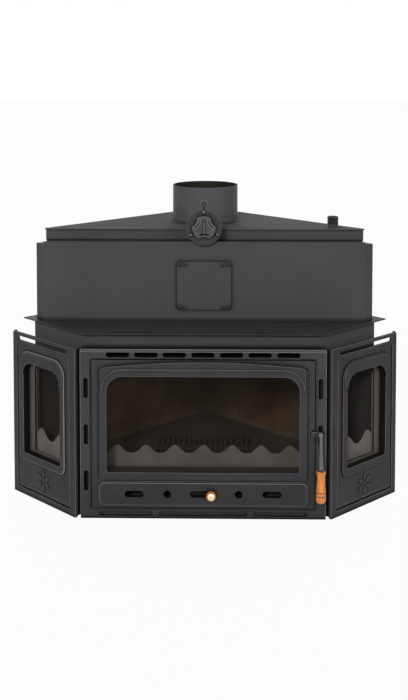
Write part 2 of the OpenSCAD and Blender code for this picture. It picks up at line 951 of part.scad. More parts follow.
module side_panel(side) {
    groove_u = panel_w - 22;
    field_h = frame_h - 34 - field_z;
    color(iron)
        beside(side)
            difference() {
                union() {
                    upright(0, panel_t)
                        difference() {
                            translate([panel_w / 2, 0])
                                rounded(panel_w, frame_h, 3, 3);
                            side_window(0);
                            translate([panel_w / 2 + 6, slot_z])
                                obround(panel_w - 58, 13);
                        }
                    // Deep jamb that carries the pane's flange
                    upright(panel_t - eps, panel_stand - panel_t + eps)
                        difference() {
                            side_window(jamb_t);
                            side_window(0);
                        }
                    upright(panel_stand - side_pane_at - flange_t, flange_t)
                        difference() {
                            side_window(eps);
                            side_opening(2);
                        }
                    // Raised band round the window, deeper over it
                    upright(-relief, relief + eps)
                        difference() {
                            side_band();
                            side_window(0);
                        }
                    upright(-relief - side_brow_t, side_brow_t + eps)
                        side_brow();
                    // Fin that closes the gap beside the front frame
                    upright(panel_t - eps, panel_stand - panel_t + eps)
                        translate([fin_u, 3])
                            square([fin_u, frame_h - 6]);
                    upright(-3, 3 + eps)
                        translate([panel_w / 2, (side_win_z - mould_w) / 2 + 11])
                            rays();
                    // Locating stub at the top outer corner
                    translate([panel_w - 12, 1, frame_h - eps])
                        cube([8, panel_t - 2, 4]);
                    // Foot that seats the panel on the body's facet
                    for (z = [20, frame_h - 60])
                        translate([20, panel_t - eps, z])
                            cube([16, panel_stand - panel_t + eps, 30]);
                }
                // Grooves along the outer edge and the foot of the panel
                translate([groove_u - groove_w / 2, -1, field_z])
                    cube([groove_w, 1 + groove_d, field_h]);
                translate([field_in, -1, field_z])
                    cube([groove_u - field_in, 1 + groove_d, groove_w]);
                translate([field_in, -1, field_z + 2 * groove_w])
                    cube([groove_u - groove_w - field_in, 2.5, 2.5]);
                // Line along the field's inner side
                translate([field_in, -1, field_z])
                    cube([2.5, 2.5, field_h]);
            }
}

// Clear opening behind a side pane
module side_opening(grow) {
    translate([side_open_u + side_open_w / 2, side_open_z - grow])
        rounded(side_open_w + 2 * grow, side_open_h + 2 * grow, 20, 4);
}

module side_panel_left() {
    side_panel(-1);
}

module side_panel_right() {
    side_panel(1);
}

module side_glass(side) {
    color([0.35, 0.35, 0.36, 0.4])
        beside(side)
            upright(panel_stand - side_pane_at, glass_t)
                side_window(-clear);
}

module side_glass_left() {
    side_glass(-1);
}

module side_glass_right() {
    side_glass(1);
}

// Wavy top edge between two ends, with n peaks
function wave(l, n, base, peak) = [for (i = [0:12 * n]) let (t = i / (12 * n))
    [l * t, base + peak * pow(0.5 - 0.5 * cos(360 * n * t), 1.6)]];

module wavy(l, n, h, peak) {
    polygon(concat([[0, 0]], wave(l, n, h, peak), [[l, 0]]));
}

module log_guard_front() {
    l = mouth_w - 8;
    color(warm)
        translate([-l / 2, front_y + wall + 50, fire_z])
            rotate([90, 0, 0])
                linear_extrude(guard_t)
                    wavy(l, 7, guard_h, guard_peak);
}

module log_guard_side(side) {
    color(warm)
        beside(side)
            upright(panel_stand - clear - guard_t, guard_t)
                intersection() {
                    side_window(-clear);
                    translate([side_win_u, side_win_z])
                        union() {
                            wavy(side_win_w, 2, side_guard_h, side_guard_peak);
                            translate([side_win_w - post_w, 0])
                                square([post_w, side_win_h]);
                        }
                }
}

module log_guard_left() {
    log_guard_side(-1);
}

module log_guard_right() {
    log_guard_side(1);
}

// Cast plate round the grate
module hearth_plate() {
    color(dark)
        difference() {
            translate([0, 0, hearth_z])
                linear_extrude(hearth_t)
                    difference() {
                        polygon(body_plan(wall));
                        for (side = [-1, 1])
                            mirror([side < 0 ? 1 : 0, 0])
                                polygon([back_pt(wall - 1, jacket_s), back_pt(lining_in, jacket_s),
                                    back_pt(lining_in, back_end(lining_in) + 2),
                                    back_pt(wall - 1, back_end(wall) + 2)]);
                    }
            translate([-grate_w / 2 - clear, grate_y() - grate_d / 2 - clear, hearth_z + 4])
                cube([grate_w + 2 * clear, grate_d + 2 * clear, hearth_t]);
            translate([-grate_w / 2 + 8, grate_y() - grate_d / 2 + 8, hearth_z - 1])
                cube([grate_w - 16, grate_d - 16, hearth_t]);
        }
}

function grate_y() = (front_y + apex) / 2 - 110;

// Cast grate, ribs across and slots between them
module grate() {
    n = floor((grate_w - 24) / grate_pitch);
    color(dark)
        translate([0, grate_y(), hearth_z + 4])
            difference() {
                translate([-grate_w / 2, -grate_d / 2, 0])
                    cube([grate_w, grate_d, hearth_t - 4]);
                for (i = [0:n - 1])
                    for (row = [-1, 1])
                        translate([(i - (n - 1) / 2) * grate_pitch, row * (grate_d - 20) / 4, -1])
                            linear_extrude(hearth_t)
                                rotate(90)
                                    obround((grate_d - 20) / 2 - 10, grate_pitch / 2);
            }
}

// Drawer for the ash, standing on the ash floor
module ash_pan() {
    w = grate_w + 20;
    d = grate_d + 20;
    h = hearth_z - pan_z - 8;
    color(steel)
        translate([-w / 2, grate_y() - d / 2, pan_z]) {
            difference() {
                cube([w, d, h]);
                translate([2, 2, 2])
                    cube([w - 4, d - 4, h]);
            }
            translate([w / 2 - 30, -12, h - 14])
                difference() {
                    cube([60, 12 + eps, 8]);
                    translate([4, 4, -1])
                        cube([52, 12, 10]);
                }
        }
}

// One firebrick of a back wall's lining, i counted from the outside
module brick(side, i) {
    z0 = fire_z;
    l = (back_l - lining_in - brick_t - jacket_s) / brick_n;
    s1 = jacket_s + i * l;
    last = i == brick_n - 1;
    color("#6a5a48")
        mirror([side < 0 ? 1 : 0, 0, 0])
            translate([0, 0, z0])
                linear_extrude(brick_h)
                    polygon(last
                        ? [back_pt(lining_in, s1), back_pt(lining_in + brick_t, s1),
                           back_pt(lining_in + brick_t, back_end(lining_in + brick_t) - 1),
                           back_pt(lining_in, back_end(lining_in) - 1)]
                        : [back_pt(lining_in, s1), back_pt(lining_in + brick_t, s1),
                           back_pt(lining_in + brick_t, s1 + l - brick_gap),
                           back_pt(lining_in, s1 + l - brick_gap)]);
}

module brick_left_1() {
    brick(-1, 0);
}

module brick_left_2() {
    brick(-1, 1);
}

module brick_left_3() {
    brick(-1, 2);
}

module brick_right_1() {
    brick(1, 0);
}

module brick_right_2() {
    brick(1, 1);
}

module brick_right_3() {
    brick(1, 2);
}

// Plate over the fire that the smoke passes in front of; it rests on the bricks
module baffle() {
    s = lining_in;
    b = apex - s * root2;
    reach = 150;
    color(dark)
        translate([0, 0, fire_z + brick_h])
            linear_extrude(baffle_t)
                polygon([[-(b + reach), -reach], [b + reach, -reach], [0, b]]);
}

// Channel behind the top slots that washes the window with air
module air_duct() {
    w = 7 * top_slot_pitch + 10;
    y = front_y + wall;
    z = slot_z - top_slot_h / 2 - duct_low;
    h = top_slot_h + duct_low + duct_up;
    t = 2;
    color(dark)
        translate([-w / 2, y, z])
            difference() {
                cube([w, duct_d, h]);
                translate([t, -1, t])
                    cube([w - 2 * t, duct_d + 1 - t, h - 2 * t]);
                for (i = [-3:3])
                    translate([w / 2 + i * top_slot_pitch - top_slot_l / 2 + 1, 4, -1])
                        cube([top_slot_l - 2, 6, t + 3]);
            }
}

// Front sheet of the hood, folded back at both ends
module hood_front() {
    color(steel)
        difference() {
            union() {
                sheet(hood_plan(0), hood_plan(hood_t), 0, 1, shelf_z, hood_h + hood_lip);
                sheet(hood_plan(0), hood_plan(hood_t), 0, 4, shelf_z, hood_h - hood_t);
                sheet(hood_plan(0), hood_plan(hood_t), 1, 2, shelf_z, hood_h - hood_t);
            }
            upright(-hood_reach - 1, hood_t + 2)
                translate([0, cover_z() + 14])
                    rounded(cover_w - 28, cover_h - 28, 6, 6);
            for (x = [-1, 1])
                for (z = [-1, 1])
                    translate([cover_bolt(x, z)[0], -hood_reach - 1, cover_bolt(x, z)[2]])
                        rotate([-90, 0, 0])
                            cylinder(d = 6, h = hood_t + 2);
        }
}

function cover_z() = shelf_z + (hood_h - cover_h) / 2 - 8;
function cover_bolt(x, z) = [x * (cover_w / 2 - 7), -hood_reach, cover_z() + cover_h / 2 + z * (cover_h / 2 - 7)];

module hood_back_left() {
    color(steel)
        sheet(hood_plan(0), hood_plan(hood_t), 3, 4, shelf_z, hood_h - hood_t);
}

module hood_back_right() {
    color(steel)
        sheet(hood_plan(0), hood_plan(hood_t), 2, 3, shelf_z, hood_h - hood_t);
}

// Top sheet of the hood, inside its front upstand
module hood_top_sheet() {
    color(steel)
        difference() {
            translate([0, 0, hood_top - hood_t])
                linear_extrude(hood_t)
                    polygon(body_plan(0, -hood_reach + hood_t, hood_k, apex));
            translate([0, 0, hood_top - hood_t - 1])
                cylinder(d = flue_d - 2 * flue_t, h = hood_t + 2);
            for (side = [-1, 1])
                translate([side * riser_x, riser_y(), hood_top - hood_t - 1])
                    cylinder(d = pipe_d - 2 * pipe_t, h = hood_t + 2);
        }
}

module riser(side) {
    color(dark)
        translate([side * riser_x, riser_y(), shelf_z])
            difference() {
                cylinder(d = pipe_d, h = hood_h - hood_t);
                translate([0, 0, -1])
                    cylinder(d = pipe_d - 2 * pipe_t, h = hood_h);
            }
}

module riser_left() {
    riser(-1);
}

module riser_right() {
    riser(1);
}

module inspection_cover() {
    color(steel)
        difference() {
            upright(-hood_reach - 5, 3)
                translate([0, cover_z()])
                    rounded(cover_w, cover_h, 8, 8);
            for (x = [-1, 1])
                for (z = [-1, 1])
                    translate([cover_bolt(x, z)[0], -hood_reach - 6, cover_bolt(x, z)[2]])
                        rotate([-90, 0, 0])
                            cylinder(d = 6, h = 6);
        }
}

module cover_gasket() {
    color(rope_white)
        upright(-hood_reach - 2, 2)
            difference() {
                translate([0, cover_z() + 5])
                    rounded(cover_w - 10, cover_h - 10, 6, 6);
                translate([0, cover_z() + 14])
                    rounded(cover_w - 28, cover_h - 28, 6, 6);
                for (x = [-1, 1])
                    for (z = [-1, 1])
                        translate([cover_bolt(x, z)[0], cover_bolt(x, z)[2]])
                            circle(d = 8);
            }
}

// Four domed bolts with wing tabs
module cover_bolts() {
    color(dark)
        for (x = [-1, 1])
            for (z = [-1, 1])
                translate(cover_bolt(x, z)) {
                    rotate([90, 0, 0])
                        translate([0, 0, -6])
                            cylinder(d = 5.9, h = 11.5);
                    translate([0, -5, 0])
                        rotate([90, 0, 0])
                            rotate_extrude()
                                polygon([[0, 0], [6, 0], [5.4, 2], [3.4, 3.4], [0, 4]]);
                }
}

// Walls of the top tank: a recessed neck and a deeper band over it
module tank_walls() {
    color(steel)
        difference() {
            union() {
                translate([0, 0, hood_top])
                    linear_extrude(neck_h + eps)
                        polygon(neck_plan(0));
                translate([0, 0, hood_top + neck_h])
                    linear_extrude(tank_h - neck_h - hood_t)
                        polygon(tank_plan(0));
            }
            translate([0, 0, hood_top - 1])
                linear_extrude(tank_h)
                    polygon(neck_plan(hood_t));
            translate([0, 0, hood_top + neck_h + hood_t])
                linear_extrude(tank_h)
                    polygon(tank_plan(hood_t));
        }
}

module tank_lid() {
    color(steel)
        difference() {
            translate([0, 0, tank_top - hood_t])
                linear_extrude(hood_t)
                    polygon(tank_plan(-tank_over));
            translate([0, 0, tank_top - hood_t - 1])
                cylinder(d = flue_d + 2 * slip, h = hood_t + 2);
            translate([flow_x, flow_y, tank_top - hood_t - 1])
                cylinder(d = pipe_d - 2 * pipe_t, h = hood_t + 2);
        }
}

// Threaded stub for the hot water, with its weld bead
module flow_pipe() {
    color(steel)
        translate([flow_x, flow_y, tank_top])
            pipe_stub(flow_h);
}

module return_pipe() {
    color(steel)
        return_axis()
            pipe_stub(return_l);
}

module pipe_stub(l) {
    r = pipe_d / 2;
    rotate_extrude()
        polygon([[r - pipe_t, 0], [r + 3, 0], [r, 4], [r, l - 1], [r - 1, l], [r - pipe_t, l]]);
}

// Collar that the flue pipe slides over, down to a slight bead
module flue_collar() {
    r = flue_d / 2;
    h = flue_top - hood_top;
    color("#4b4e52")
        difference() {
            union() {
                translate([0, 0, hood_top])
                    cylinder(r = r, h = h, $fn = 128);
                translate([0, 0, rod_z + rod_d / 2 + 6])
                    rotate_extrude($fn = 128)
                        translate([r - 0.5, 0])
                            circle(r = collar_bead, $fn = 24);
            }
            translate([0, 0, hood_top - 1])
                cylinder(r = r - flue_t, h = h + 2, $fn = 128);
            translate([0, -r - 10, rod_z])
                rotate([-90, 0, 0])
                    cylinder(d = rod_d + 2 * slip, h = 2 * r + 20);
        }
}

// Bracket on the tank that steadies the damper spindle
module rod_bracket() {
    color(steel)
        difference() {
            translate([0, -tank_reach + 8, 0])
                union() {
                    translate([-12, 0, tank_top])
                        cube([24, 4, rod_rise]);
                    translate([0, 4, rod_z])
                        rotate([90, 0, 0])
                            cylinder(d = 24, h = 4);
                    translate([-12, 0, tank_top])
                        cube([24, 16, 3]);
                }
            translate([0, -tank_reach, rod_z])
                rotate([-90, 0, 0])
                    cylinder(d = rod_d + 2 * slip, h = 30);
        }
}

module damper_rod() {
    color(dark)
        translate([0, -hood_reach - wheel_gap - 8, rod_z])
            rotate([-90, 0, 0])
                cylinder(d = rod_d, h = hood_reach + wheel_gap + 8 + flue_d / 2 + 6);
}

// Butterfly plate, held beside the spindle by two sleeves
module damper_plate() {
    r = flue_d / 2 - flue_t - 9;
    color(dark)
        difference() {
            union() {
                translate([rod_d / 2, 0, rod_z])
                    rotate([0, 90, 0])
                        cylinder(r = r, h = 3);
                for (y = [-50, 50])
                    translate([0, y - 12, rod_z])
                        rotate([-90, 0, 0])
                            cylinder(d = rod_d + 6, h = 24);
            }
            translate([0, -flue_d / 2, rod_z])
                rotate([-90, 0, 0])
                    cylinder(d = rod_d, h = flue_d);
        }
}

// Points on a circle of radius r at angle a
function polar(r, a) = [r * cos(a), r * sin(a)];

// Three-lobed boss outline, its sides hollowed by circles
module trefoil() {
    difference() {
        circle(r = boss_r);
        for (a = [30:120:270])
            translate(polar(hollow_at, a))
                circle(r = hollow_r);
    }
}

// Curved slots beside the hollow sides of the boss
module trefoil_slots() {
    for (a = [30:120:270])
        intersection() {
            translate(polar(hollow_at, a))
                difference() {
                    circle(r = hollow_r + 4 + wheel_slot);
                    circle(r = hollow_r + 4);
                }
            circle(r = boss_r - 6);
        }
}

// Cast handwheel with a three-lobed boss, three screws and a finger knob on its rim
module damper_wheel() {
    front = -hood_reach - wheel_gap - 8;
    color(iron)
        difference() {
            union() {
                translate([0, front + wheel_t, rod_z])
                    rotate([90, 0, 0])
                        cylinder(d = wheel_d, h = wheel_t);
                translate([0, front + wheel_t + 4, rod_z])
                    rotate([90, 0, 0])
                        cylinder(d = rod_d + 12, h = 5);
                translate([0, front + eps, rod_z])
                    rotate([90, 0, 0])
                        linear_extrude(boss_t)
                            trefoil();
                // Pointer ridge on the boss
                translate([0, front - boss_t + eps, rod_z])
                    rotate([90, 0, 0])
                        linear_extrude(2.5)
                            rotate(90)
                                obround(boss_r + 4, 6);
                // Finger knob on its stem
                translate([-4, front + 1, rod_z + wheel_d / 2 - 3])
                    cube([8, wheel_t - 2, finger_up]);
                translate([0, front + wheel_t - 1, rod_z + wheel_d / 2 + finger_up])
                    rotate([90, 0, 0])
                        cylinder(d = finger_d, h = wheel_t + 4);
            }
            translate([0, front + 12, rod_z])
                rotate([90, 0, 0])
                    cylinder(d = rod_d, h = 12);
            translate([0, front + 11, rod_z])
                rotate([90, 0, 0])
                    linear_extrude(20)
                        trefoil_slots();
        }
}

module wheel_screws() {
    front = -hood_reach - wheel_gap - 8;
    color("#77777a")
        for (a = [90:120:330])
            translate([polar(wheel_screw_at, a)[0], front, rod_z + polar(wheel_screw_at, a)[1]])
                rotate([90, 0, 0])
                    rotate_extrude()
                        polygon([[0, 0], [wheel_screw_r, 0], [wheel_screw_r * 0.88, 2],
                            [wheel_screw_r * 0.5, 3.3], [0, 3.8]]);
}

base_plate();
body_front();
side_wall_left();
side_wall_right();
back_wall_left();
back_wall_right();
water_jacket_left();
water_jacket_right();
ash_floor();
shelf_plate();
front_frame();
hinge_pins();
door();
door_glass();
glass_gasket();
door_rope();
glass_clips();
air_shutter();
air_knob();
air_knob_screw();
latch_spindle();
latch_lever();
latch_grip();
side_panel_left();
side_panel_right();
side_glass_left();
side_glass_right();
log_guard_front();
log_guard_left();
log_guard_right();
hearth_plate();
grate();
ash_pan();
brick_left_1();
brick_left_2();
brick_left_3();
brick_right_1();
brick_right_2();
brick_right_3();
baffle();
air_duct();
hood_front();
hood_back_left();
hood_back_right();
hood_top_sheet();
riser_left();
riser_right();
inspection_cover();
cover_gasket();
cover_bolts();
tank_walls();
tank_lid();
flow_pipe();
return_pipe();
flue_collar();
rod_bracket();
damper_rod();
damper_plate();
damper_wheel();
wheel_screws();
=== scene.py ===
# %% [markdown]
# # A corner boiler insert, dressed in Blender
# The construction comes ready-made: sixty steel, iron, brick and glass pieces at their real size. This
# lesson gives them their looks. Castings get soft edges and a heat-proof matte coat, sheets get weld
# seams, pipes get threads, and the handle gets turned wood. Nothing here moves or resizes a piece.

# %% Load the frame
import json
from math import cos, pi, radians, sin, sqrt

import bmesh
import bpy
from mathutils import Matrix, Vector


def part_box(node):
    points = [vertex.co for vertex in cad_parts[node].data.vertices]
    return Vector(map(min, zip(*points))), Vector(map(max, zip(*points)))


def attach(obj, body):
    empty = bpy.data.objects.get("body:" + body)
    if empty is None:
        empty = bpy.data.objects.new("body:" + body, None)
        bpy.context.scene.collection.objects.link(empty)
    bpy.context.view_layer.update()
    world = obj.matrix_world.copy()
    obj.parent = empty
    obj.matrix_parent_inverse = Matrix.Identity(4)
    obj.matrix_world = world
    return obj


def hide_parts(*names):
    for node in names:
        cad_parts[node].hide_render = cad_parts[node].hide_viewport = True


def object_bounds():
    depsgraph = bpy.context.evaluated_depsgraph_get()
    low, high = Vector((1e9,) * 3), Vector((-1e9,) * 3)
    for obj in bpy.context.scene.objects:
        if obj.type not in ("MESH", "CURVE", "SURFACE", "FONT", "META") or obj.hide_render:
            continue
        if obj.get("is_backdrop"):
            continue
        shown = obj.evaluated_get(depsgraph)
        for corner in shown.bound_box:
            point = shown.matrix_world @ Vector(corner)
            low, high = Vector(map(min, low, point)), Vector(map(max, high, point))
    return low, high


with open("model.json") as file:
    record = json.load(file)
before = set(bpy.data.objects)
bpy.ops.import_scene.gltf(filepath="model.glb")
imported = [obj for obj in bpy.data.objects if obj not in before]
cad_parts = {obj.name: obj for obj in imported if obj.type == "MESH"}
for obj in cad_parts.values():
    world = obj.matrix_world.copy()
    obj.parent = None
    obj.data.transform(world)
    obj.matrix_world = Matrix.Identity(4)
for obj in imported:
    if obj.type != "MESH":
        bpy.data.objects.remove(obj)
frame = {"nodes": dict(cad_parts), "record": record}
cad_low, cad_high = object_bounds()
MM = 0.001
print("frame of", len(frame["nodes"]), "nodes, size in mm:",
      [round((b - a) / MM) for a, b in zip(cad_low, cad_high)])

# %% [markdown]
# ## Camera
# The picture was taken from above the middle of the shelf, a little to the right, with the lens shifted
# down so that upright edges stay nearly upright. A focal length in pixels of the tall side turns into
# millimetres of a 36 mm sensor, and the shift is a share of the same side.

# %% Camera
PHOTO_H = 700
FOCAL_PX = 1144
EYE = Vector((0.058, -3.529, 1.297))
YAW = 0.0176
TILT = 0.0611
SHIFT = -0.32
SENSOR = 36.0

scene = bpy.context.scene
lens = bpy.data.cameras.new("portrait")
lens.sensor_fit = "VERTICAL"
lens.sensor_height = SENSOR
lens.lens = FOCAL_PX / PHOTO_H * SENSOR
lens.shift_y = SHIFT
camera = bpy.data.objects.new("portrait", lens)
camera.location = EYE
camera.rotation_euler = (pi / 2 - TILT, 0, YAW)
scene.collection.objects.link(camera)
scene.camera = camera
print("lens", round(lens.lens, 1), "mm")

# %% [markdown]
# ## Helpers for shader nodes
# A material here is a small graph. A few helpers keep the graphs readable: add makes a node, wire joins
# two sockets, and feed fills a node's inputs. Where a helper takes a value, it takes a number, a colour,
# or another node's output as a (node, output) pair.

# %% Node helpers
OUTPUTS = {"Colour": "NodeSocketColor", "Roughness": "NodeSocketFloat", "Height": "NodeSocketFloat"}
MIXED = 2


def add(tree, kind, at=(0, 0), **values):
    """Adds one shader node and sets its properties."""
    node = tree.nodes.new(kind)
    node.location = at
    for name, value in values.items():
        setattr(node, name, value)
    return node


def wire(tree, source, output, target, socket):
    """Joins an output to an input, both by name or index."""
    tree.links.new(source.outputs[output], target.inputs[socket])


def feed(tree, node, values):
    """Fills inputs, by name or index, and returns the node."""
    for socket, value in values.items():
        if isinstance(value, tuple) and isinstance(value[0], bpy.types.Node):
            wire(tree, *value, node, socket)
        else:
            node.inputs[socket].default_value = value
    return node


def new_group(title, inputs):
    """Starts the node group of a finish and returns it with its two ends."""
    group = bpy.data.node_groups.new(title, "ShaderNodeTree")
    for name, value in inputs.items():
        kind = "NodeSocketColor" if isinstance(value, tuple) else "NodeSocketFloat"
        socket = group.interface.new_socket(name=name, in_out="INPUT", socket_type=kind)
        socket.default_value = value
    for name, kind in OUTPUTS.items():
        group.interface.new_socket(name=name, in_out="OUTPUT", socket_type=kind)
    return group, add(group, "NodeGroupInput", (-900, 0)), add(group, "NodeGroupOutput", (700, 0))


def new_material(name):
    """Starts a material and returns it with its tree and its Principled shader."""
    material = bpy.data.materials.new(name)
    material.use_nodes = True
    return material, material.node_tree, material.node_tree.nodes["Principled BSDF"]


def calculate(tree, operation, first, second):
    """A Math node on two values."""
    return feed(tree, add(tree, "ShaderNodeMath", operation=operation), {0: first, 1: second})


def spread(tree, source, low, high, new_low, new_high, **values):
    """A Map Range node that stretches low..high over new_low..new_high."""
    return feed(tree, add(tree, "ShaderNodeMapRange", **values),
                {"Value": source, "From Min": low, "From Max": high, "To Min": new_low, "To Max": new_high})


def mix(tree, factor, first, second):
    """A mix of two colours. Its colour comes out of the output MIXED."""
    return feed(tree, add(tree, "ShaderNodeMix", data_type="RGBA"), {0: factor, 6: first, 7: second})


def noise(tree, vector, **values):
    """A noise texture over a vector, with its other inputs by name."""
    return feed(tree, add(tree, "ShaderNodeTexNoise"), {"Vector": vector, **values})


def emboss(tree, shader, height, strength, distance):
    """Gives a shader a relief of a few tenths of a millimetre."""
    relief = add(tree, "ShaderNodeBump", (-250, -250))
    feed(tree, relief, {"Height": height, "Strength": strength, "Distance": distance})
    wire(tree, relief, "Normal", shader, "Normal")


def grey(level, warm=0.0):
    """A linear grey, warmed towards brown by a small share."""
    return (level * (1 + warm), level, level * (1 - warm), 1.0)

# %% [markdown]
# ## The skin of painted iron and steel
# Stove paint is a thin matte coat over sand-cast iron or rolled sheet. Up close it shows a fine grain,
# and over a hand's breadth its tone drifts a little, where the sprayer passed twice or a hand wore it.
# One group makes both: a wide noise drives the tone and the gloss, and a fine one gives the relief. In
# grooves, gaps and corners the group paints shade: an occlusion node finds them by looking a few
# millimetres around each point, and there the colour turns black. Rounded rims are spared this painted
# shade, and each finish sets how much of its colour the painted shade leaves at the least.
# Foot is how much of the tone is left at the floor, as the coat gets darker towards the bottom.

# %% Paint group
# Painted shade in hollows: how far the occlusion node looks, which open shares it spans, and its black
SHADE_REACH = 12 * MM
SHADE_OPEN = (0.74, 0.98)
PAINTED_SHADE_BLACK = (0.004, 0.0035, 0.004, 1.0)
RIM_UNSHADED = 0.85
FOOT_HEIGHT = 0.24
BLACK = (0.0, 0.0, 0.0, 1.0)


def paint_group():
    group, start, end = new_group("stove paint", {
        "Paint": grey(0.06), "Rubbed": grey(0.09), "Drift": 0.5, "Cloud scale": 7.0, "Grain scale": 900.0,
        "Gloss low": 0.45, "Gloss high": 0.62, "Edge": 0.5, "Wiped": 0.0, "Foot": 1.0})
    place = add(group, "ShaderNodeTexCoord", (-900, -300))
    cloud = noise(group, (place, "Object"), Scale=(start, "Cloud scale"), Detail=4, Roughness=0.6)
    grain = noise(group, (place, "Object"), Scale=(start, "Grain scale"), Detail=3)
    patch = spread(group, (cloud, "Fac"), 0.35, 0.68, 0.0, 1.0)
    amount = calculate(group, "MULTIPLY", (patch, 0), (start, "Drift"))
    tone = mix(group, (amount, 0), (start, "Paint"), (start, "Rubbed"))
    # Faces that a bevel rounded carry the attribute "edge", and there the coat is lighter in places: partly
    # worn-through paint, partly a painted highlight along the rounds
    rim = add(group, "ShaderNodeAttribute", attribute_name="edge")
    speck = spread(group, (grain, "Fac"), 0.3, 0.62, 0.35, 1.0)
    edge_wear_and_highlight = calculate(group, "MULTIPLY", (rim, "Fac"), (speck, 0))
    shown = calculate(group, "MULTIPLY", (edge_wear_and_highlight, 0), (start, "Edge"))
    worn_and_highlighted = mix(group, (shown, 0), (tone, MIXED), (start, "Rubbed"))
    # Painted shade: near other surfaces, in grooves, gaps and corners, the colour goes black, except on
    # rims
    around = feed(group, add(group, "ShaderNodeAmbientOcclusion", samples=6), {"Distance": SHADE_REACH})
    open_share = spread(group, (around, "AO"), *SHADE_OPEN, 0.0, 1.0)
    wear_and_sheen = calculate(group, "MULTIPLY", (rim, "Fac"), RIM_UNSHADED)
    unshaded_share = calculate(group, "MAXIMUM", (open_share, 0), (wear_and_sheen, 0))
    least = calculate(group, "MAXIMUM", (unshaded_share, 0), (start, "Wiped"))
    with_painted_shade = mix(group, (least, 0), PAINTED_SHADE_BLACK, (worn_and_highlighted, MIXED))
    # Darker towards the bottom: the tone falls to the share Foot at the floor
    split = feed(group, add(group, "ShaderNodeSeparateXYZ"), {0: (place, "Object")})
    low_share = spread(group, (split, "Z"), 0.0, FOOT_HEIGHT, (start, "Foot"), 1.0,
                    interpolation_type="SMOOTHSTEP")
    darker_low = mix(group, (low_share, 0), BLACK, (with_painted_shade, MIXED))
    gloss = spread(group, (cloud, "Fac"), 0.3, 0.7, (start, "Gloss high"), (start, "Gloss low"))
    feed(group, end, {"Colour": (darker_low, MIXED), "Roughness": (gloss, 0), "Height": (grain, "Fac")})
    return group


PAINT = paint_group()
print("group", PAINT.name)

# %% [markdown]
# ## Soot and ash
# Inside the fire room everything is smoked: black above, and dusted with pale ash near the hearth. The
# mask follows the height over the hearth, broken up by noise, so that it reads the same on each piece.

# %% Soot group
ASH_FADE = 30 * MM


def soot_group():
    group, start, end = new_group("soot and ash", {
        "Base": grey(0.2), "Soot": grey(0.012), "Ash": grey(0.3), "Ash height": 0.13, "Amount": 0.7})
    place = add(group, "ShaderNodeTexCoord", (-900, -300))
    smoke = noise(group, (place, "Object"), Scale=14, Detail=6)
    pores = noise(group, (place, "Object"), Scale=420, Detail=5)
    smoked = spread(group, (smoke, "Fac"), 0.3, 0.65, 0.25, 1.0)
    share = calculate(group, "MULTIPLY", (smoked, 0), (start, "Amount"))
    dark = mix(group, (share, 0), (start, "Base"), (start, "Soot"))
    split = feed(group, add(group, "ShaderNodeSeparateXYZ"), {0: (place, "Object")})
    over = calculate(group, "SUBTRACT", (split, "Z"), (start, "Ash height"))
    low = spread(group, (over, 0), 0.0, ASH_FADE, 0.7, 0.0)
    dusty = calculate(group, "MULTIPLY", (low, 0), (pores, "Fac"))
    ashen = mix(group, (dusty, 0), (dark, MIXED), (start, "Ash"))
    rough = spread(group, (pores, "Fac"), 0.3, 0.7, 0.78, 0.95)
    feed(group, end, {"Colour": (ashen, MIXED), "Roughness": (rough, 0), "Height": (pores, "Fac")})
    return group


SOOT = soot_group()
print("group", SOOT.name)

# %% [markdown]
# ## Turned wood
# The grip was turned on a lathe from straight-grained beech, with its grain along the axis, then
# scorched and varnished. Rings seen from the side become long streaks, so a noise is stretched by
# squeezing its coordinate along Z.

# %% Wood group
def wood_group():
    group, start, end = new_group("turned wood", {
        "Light": (0.72, 0.3, 0.075, 1.0), "Deep": (0.33, 0.085, 0.012, 1.0), "Streak scale": 260.0,
        "Along": 0.07})
    place = add(group, "ShaderNodeTexCoord", (-900, -300))
    split = feed(group, add(group, "ShaderNodeSeparateXYZ"), {0: (place, "Object")})
    squeeze = calculate(group, "MULTIPLY", (split, "Z"), (start, "Along"))
    joined = feed(group, add(group, "ShaderNodeCombineXYZ"),
                  {"X": (split, "X"), "Y": (split, "Y"), "Z": (squeeze, 0)})
    streak = noise(group, (joined, 0), Scale=(start, "Streak scale"), Detail=5, Roughness=0.65,
                   Distortion=0.4)
    share = spread(group, (streak, "Fac"), 0.32, 0.68, 0.0, 1.0)
    tone = mix(group, (share, 0), (start, "Light"), (start, "Deep"))
    rough = spread(group, (streak, "Fac"), 0.3, 0.7, 0.32, 0.42)
    feed(group, end, {"Colour": (tone, MIXED), "Roughness": (rough, 0), "Height": (streak, "Fac")})
    return group


WOOD = wood_group()
print("group", WOOD.name)

# %% [markdown]
# ## Finishes
# Each finish is one material: a group gives its colour, roughness and relief, and a Principled shader
# does the rest. Numbers that are the same all over, such as metalness or the coat, sit on the shader's
# own sockets. What a finish leaves out keeps the group's own value, such as half of the full drift.

# %% Finish helpers
def specular(level):
    """The shader's own socket for how much it mirrors."""
    return {"Specular IOR Level": level}


MATTE = specular(0.12)
ASHEN = specular(0.2)


def finish(name, group, relief, plain, **values):
    """A material fed by a group. relief is strength and depth; plain sets the shader's own sockets."""
    material, tree, shader = new_material(name)
    source = add(tree, "ShaderNodeGroup", (-500, 0), node_tree=group)
    feed(tree, source, {socket.replace("_", " "): value for socket, value in values.items()})
    feed(tree, shader, {"Base Color": (source, "Colour"), "Roughness": (source, "Roughness"), **plain})
    emboss(tree, shader, (source, "Height"), *relief)
    return material


def painted(name, paint, wear_and_sheen, gloss, clouds, grains, relief=(0.12, 0.0003), plain=MATTE, **values):
    """A finish of stove paint. gloss is its range of roughness; clouds and grains are noise scales."""
    return finish(name, PAINT, relief, plain, Paint=paint, Rubbed=wear_and_sheen, Gloss_low=gloss[0],
                  Gloss_high=gloss[1], Cloud_scale=clouds, Grain_scale=grains, **values)


